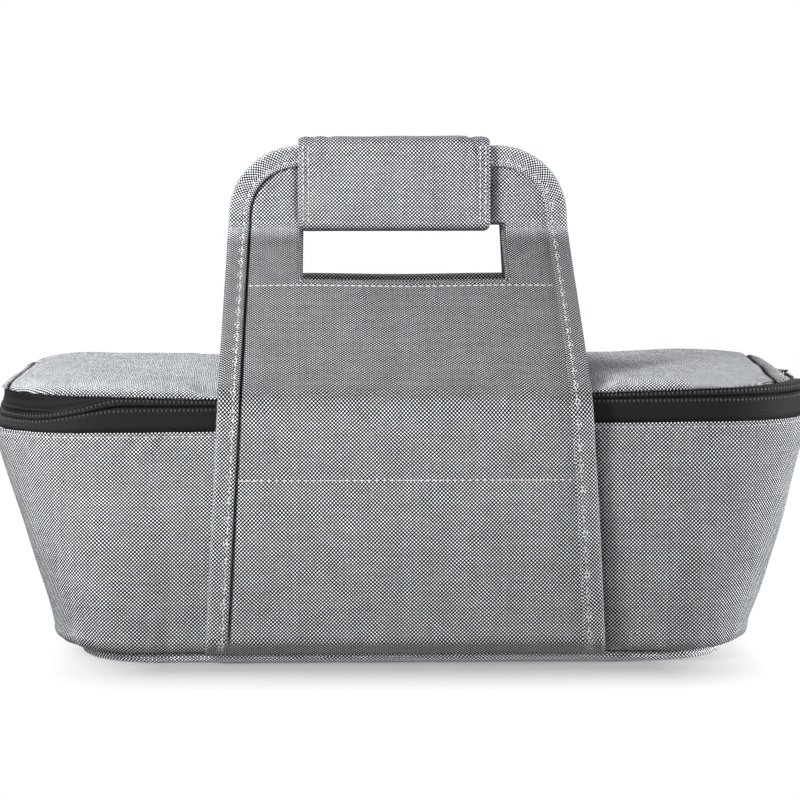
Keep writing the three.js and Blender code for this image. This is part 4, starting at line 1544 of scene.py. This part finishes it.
def make_slider():
    low, high = node_box("zip_slider")
    pin_x, pin_y, reach = pull_pin()
    face = low[0] + 3.1  # inner side of the plate, over the coils
    plate = add_block("slider_plate", (face, low[1], PARTING - 4.5), (face + 2, high[1], PARTING + 4.5))
    with edit_mode():
        bpy.ops.mesh.subdivide(number_cuts=5)

    def waist(points):
        along = (points[:, 1] - pin_y) / 7.5
        narrow = 0.74 + 0.26 * np.abs(along) ** 1.4
        points[:, 2] = PARTING + (points[:, 2] - PARTING) * np.minimum(narrow, 1.0)
        return points

    move_points(plate, waist)
    bevel_all(plate, 0.35)
    keel_low, keel_high = (low[0], low[1] + 1, PARTING - 0.28), (face + 1, high[1] - 1, PARTING + 0.28)
    pieces = [plate, add_block("slider_keel", keel_low, keel_high)]
    for way in (-1, 1):
        near, far = sorted((PARTING + way * (reach + 0.3), PARTING + way * (reach + 1.6)))
        lug = add_block("slider_lug", (face + 1, pin_y - 1.9, near), (pin_x + 1.7, pin_y + 1.9, far))
        bevel_all(lug, 0.55, segments=3)
        pieces.append(lug)
    pin = add_cylinder(20, radius=0.75, depth=2 * reach + 2.6, place=(pin_x, pin_y, PARTING))
    slider = join("zipper_slider", pieces + [pin])
    dress(slider, METAL, "metal", "zip_slider")
    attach(slider, "zip_slider")


def make_pull():
    pull_low, pull_high = node_box("zip_pull")
    pin_x, pin_y, reach = pull_pin()
    end_y = pull_low[1] + reach
    place, lying = (pull_high[0] - 0.95, end_y, PARTING), (0, math.pi / 2, 0)
    tab = add_cylinder(40, radius=reach, depth=1.6, place=place, rotation=lying)

    def stretch(points):
        longer = pin_y - pull_low[1] - 2 * reach - 1.2
        points[:, 1] += np.where(points[:, 1] > end_y + 0.01, longer, 0.0)
        return points

    move_points(tab, stretch)
    bpy.ops.object.mode_set(mode="EDIT")
    bpy.ops.mesh.select_all(action="DESELECT")
    bpy.ops.object.mode_set(mode="OBJECT")
    for polygon in tab.data.polygons:
        polygon.select = abs(polygon.normal.x) > 0.9
    bpy.ops.object.mode_set(mode="EDIT")
    bpy.ops.mesh.select_mode(type="FACE")
    bpy.ops.mesh.inset(thickness=0.7 * MM)
    bpy.ops.mesh.extrude_region_shrink_fatten(TRANSFORM_OT_shrink_fatten={"value": -0.35 * MM})
    bpy.ops.object.mode_set(mode="OBJECT")
    bevel_all(tab, 0.2)
    deselect()
    pin = (pin_x * MM, pin_y * MM, PARTING * MM)
    bpy.ops.mesh.primitive_torus_add(
        location=pin, major_radius=1.45 * MM, minor_radius=0.42 * MM,
        major_segments=28, minor_segments=10,
    )
    eye = bpy.context.object
    with edit_mode():
        bpy.ops.transform.resize(value=(1, 1, 4.6), center_override=pin)
    apply_place()
    bpy.ops.object.shade_smooth()
    pull = join("zipper_pull", [tab, eye])
    dress(pull, METAL, "metal", "zip_pull")
    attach(pull, "zip_pull")


def dress_nodes():
    """Finishes the CAD nodes that stay: the wrap's closure and the zipper's end stop."""
    finishes = {"wrap_loop_strip": CLOSURE, "wrap_hook_strip": CLOSURE, "zip_stop": METAL}
    for node, finish in finishes.items():
        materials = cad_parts[node].data.materials
        materials.clear()
        materials.append(finish)
    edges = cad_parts["zip_stop"].modifiers.new("edges", "BEVEL")
    edges.width = 0.5 * MM
    edges.segments = 3


def make_rim_stitches():
    """Topstitching below the zipper on the bag."""
    row = ring(ROUND, SHELL_TOP - RIM_SEAM)
    row[:, :2] += ROUND[:, 2:] * (wall_folds(row, lengths(row)) - 0.05)[:, None]
    places, run, where, total = spaced(settle(row), pitch=3.6)
    outward = at(where, total, out_from(ROUND))
    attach(sew("rim_stitches", [(places, run, outward)], RIM_STITCH), "bag")


# Stage


def make_floor():
    """White paper that keeps the shadow near the base and is plain white further out."""
    deselect()
    bpy.ops.mesh.primitive_plane_add(size=30, location=(0, 0, 0))
    floor = bpy.context.object
    floor.name = "studio_floor"
    f = Finish(bpy.data.materials.new("studio_white"))
    seen = f.node("ShaderNodeLightPath")["Is Camera Ray"]
    parts = f.split(f.place())

    def away(axis, near, far):
        inputs = {"Value": parts[axis].size(), "From Min": near, "From Max": far}
        return f.node("ShaderNodeMapRange", None, inputs)[0]

    sideways, ahead = away("X", 0.14, 0.205), away("Y", 0.158, 0.23)
    far = ((sideways * sideways + ahead * ahead) ** 0.5).within(0.0, 1.0)
    shade = f.node("ShaderNodeBsdfDiffuse", None, {"Color": grey(0.45)})[0]
    white = f.node("ShaderNodeEmission", None, {"Color": grey(1.0), "Strength": 1.0})[0]
    # Painted light: to all rays but the camera's the floor is an even grey glow that lights the bag from
    # below.
    glow = f.node("ShaderNodeEmission", None, {"Color": grey(0.36), "Strength": 1.0})[0]
    paper = f.node("ShaderNodeMixShader", None, {0: far, 1: shade, 2: white})[0]
    shown = f.node("ShaderNodeMixShader", None, {0: seen, 1: glow, 2: paper})[0]
    f.node("ShaderNodeOutputMaterial", None, {"Surface": shown})
    f.owner.cycles.emission_sampling = "NONE"
    floor.data.materials.append(f.owner)


def make_world():
    scene.world = bpy.data.worlds.new("studio")
    f = Finish(scene.world)
    rays = f.node("ShaderNodeLightPath")
    seen = rays["Is Camera Ray"]
    direct = seen.sum("MAXIMUM", seen, rays["Is Glossy Ray"])
    direct = direct.sum("MAXIMUM", direct, rays["Is Transmission Ray"])
    soft = f.node("ShaderNodeBackground", None, {"Color": grey(1.0), "Strength": 0.26})[0]
    white = f.node("ShaderNodeBackground", None, {"Color": grey(1.0), "Strength": 1.0})[0]
    shown = f.node("ShaderNodeMixShader", None, {0: direct, 1: soft, 2: white})[0]
    f.node("ShaderNodeOutputWorld", None, {"Surface": shown})


def add_lamp(name, place, aim, size, power):
    data = bpy.data.lights.new(name, "AREA")
    data.shape = "DISK"
    data.size = size
    data.energy = power
    lamp = bpy.data.objects.new(name, data)
    lamp.location = place
    lamp.rotation_euler = (Vector(aim) - Vector(place)).to_track_quat("-Z", "Y").to_euler()
    scene.collection.objects.link(lamp)


# Name, place, aim, width in metres and power of each lamp
LAMPS = [
    ("key_left", (-0.78, -0.68, 0.68), (0, -0.1, 0.12), 0.4, 15.2),
    ("front", (-0.1, -2.7, 0.9), (0, 0, 0.2), 1.2, 5.5),
    ("behind_top", (-0.65, 0.65, 1.7), (0, 0, 0.1), 1.0, 25),
    ("right", (1.6, -0.2, 0.35), (0.2, 0, 0.1), 0.6, 28),
]
CAMERA_PLACE = (-0.0711, -2.27, 0.3638)
CAMERA_TILT = 84.32  # degrees, 90 looks level
CAMERA_TURN = -1.827  # degrees, to the right
LENS = 169.5


def make_camera():
    camera = bpy.data.cameras.new("camera")
    camera.sensor_width = 36
    camera.lens = LENS
    camera.clip_start = 0.05
    camera.clip_end = 100
    eye = bpy.data.objects.new("camera", camera)
    eye.location = CAMERA_PLACE
    eye.rotation_euler = (math.radians(CAMERA_TILT), 0, math.radians(CAMERA_TURN))
    scene.collection.objects.link(eye)
    scene.camera = eye
    scene.view_settings.view_transform = "Standard"


make_floor()
make_world()
for lamp in LAMPS:
    add_lamp(*lamp)
make_camera()
make_wall()
make_piping()
make_base_cloth()
make_lining_tub()
make_rim_tape()
make_zipper()
make_hinge_cloth()
make_lid()
make_lid_lining()
for label in PANELS:
    make_panel(label)
    make_slot_facing(label)
    make_binding(label)
    make_panel_stitches(label)
make_wrap()
make_rim_stitches()
make_slider()
make_pull()
dress_nodes()
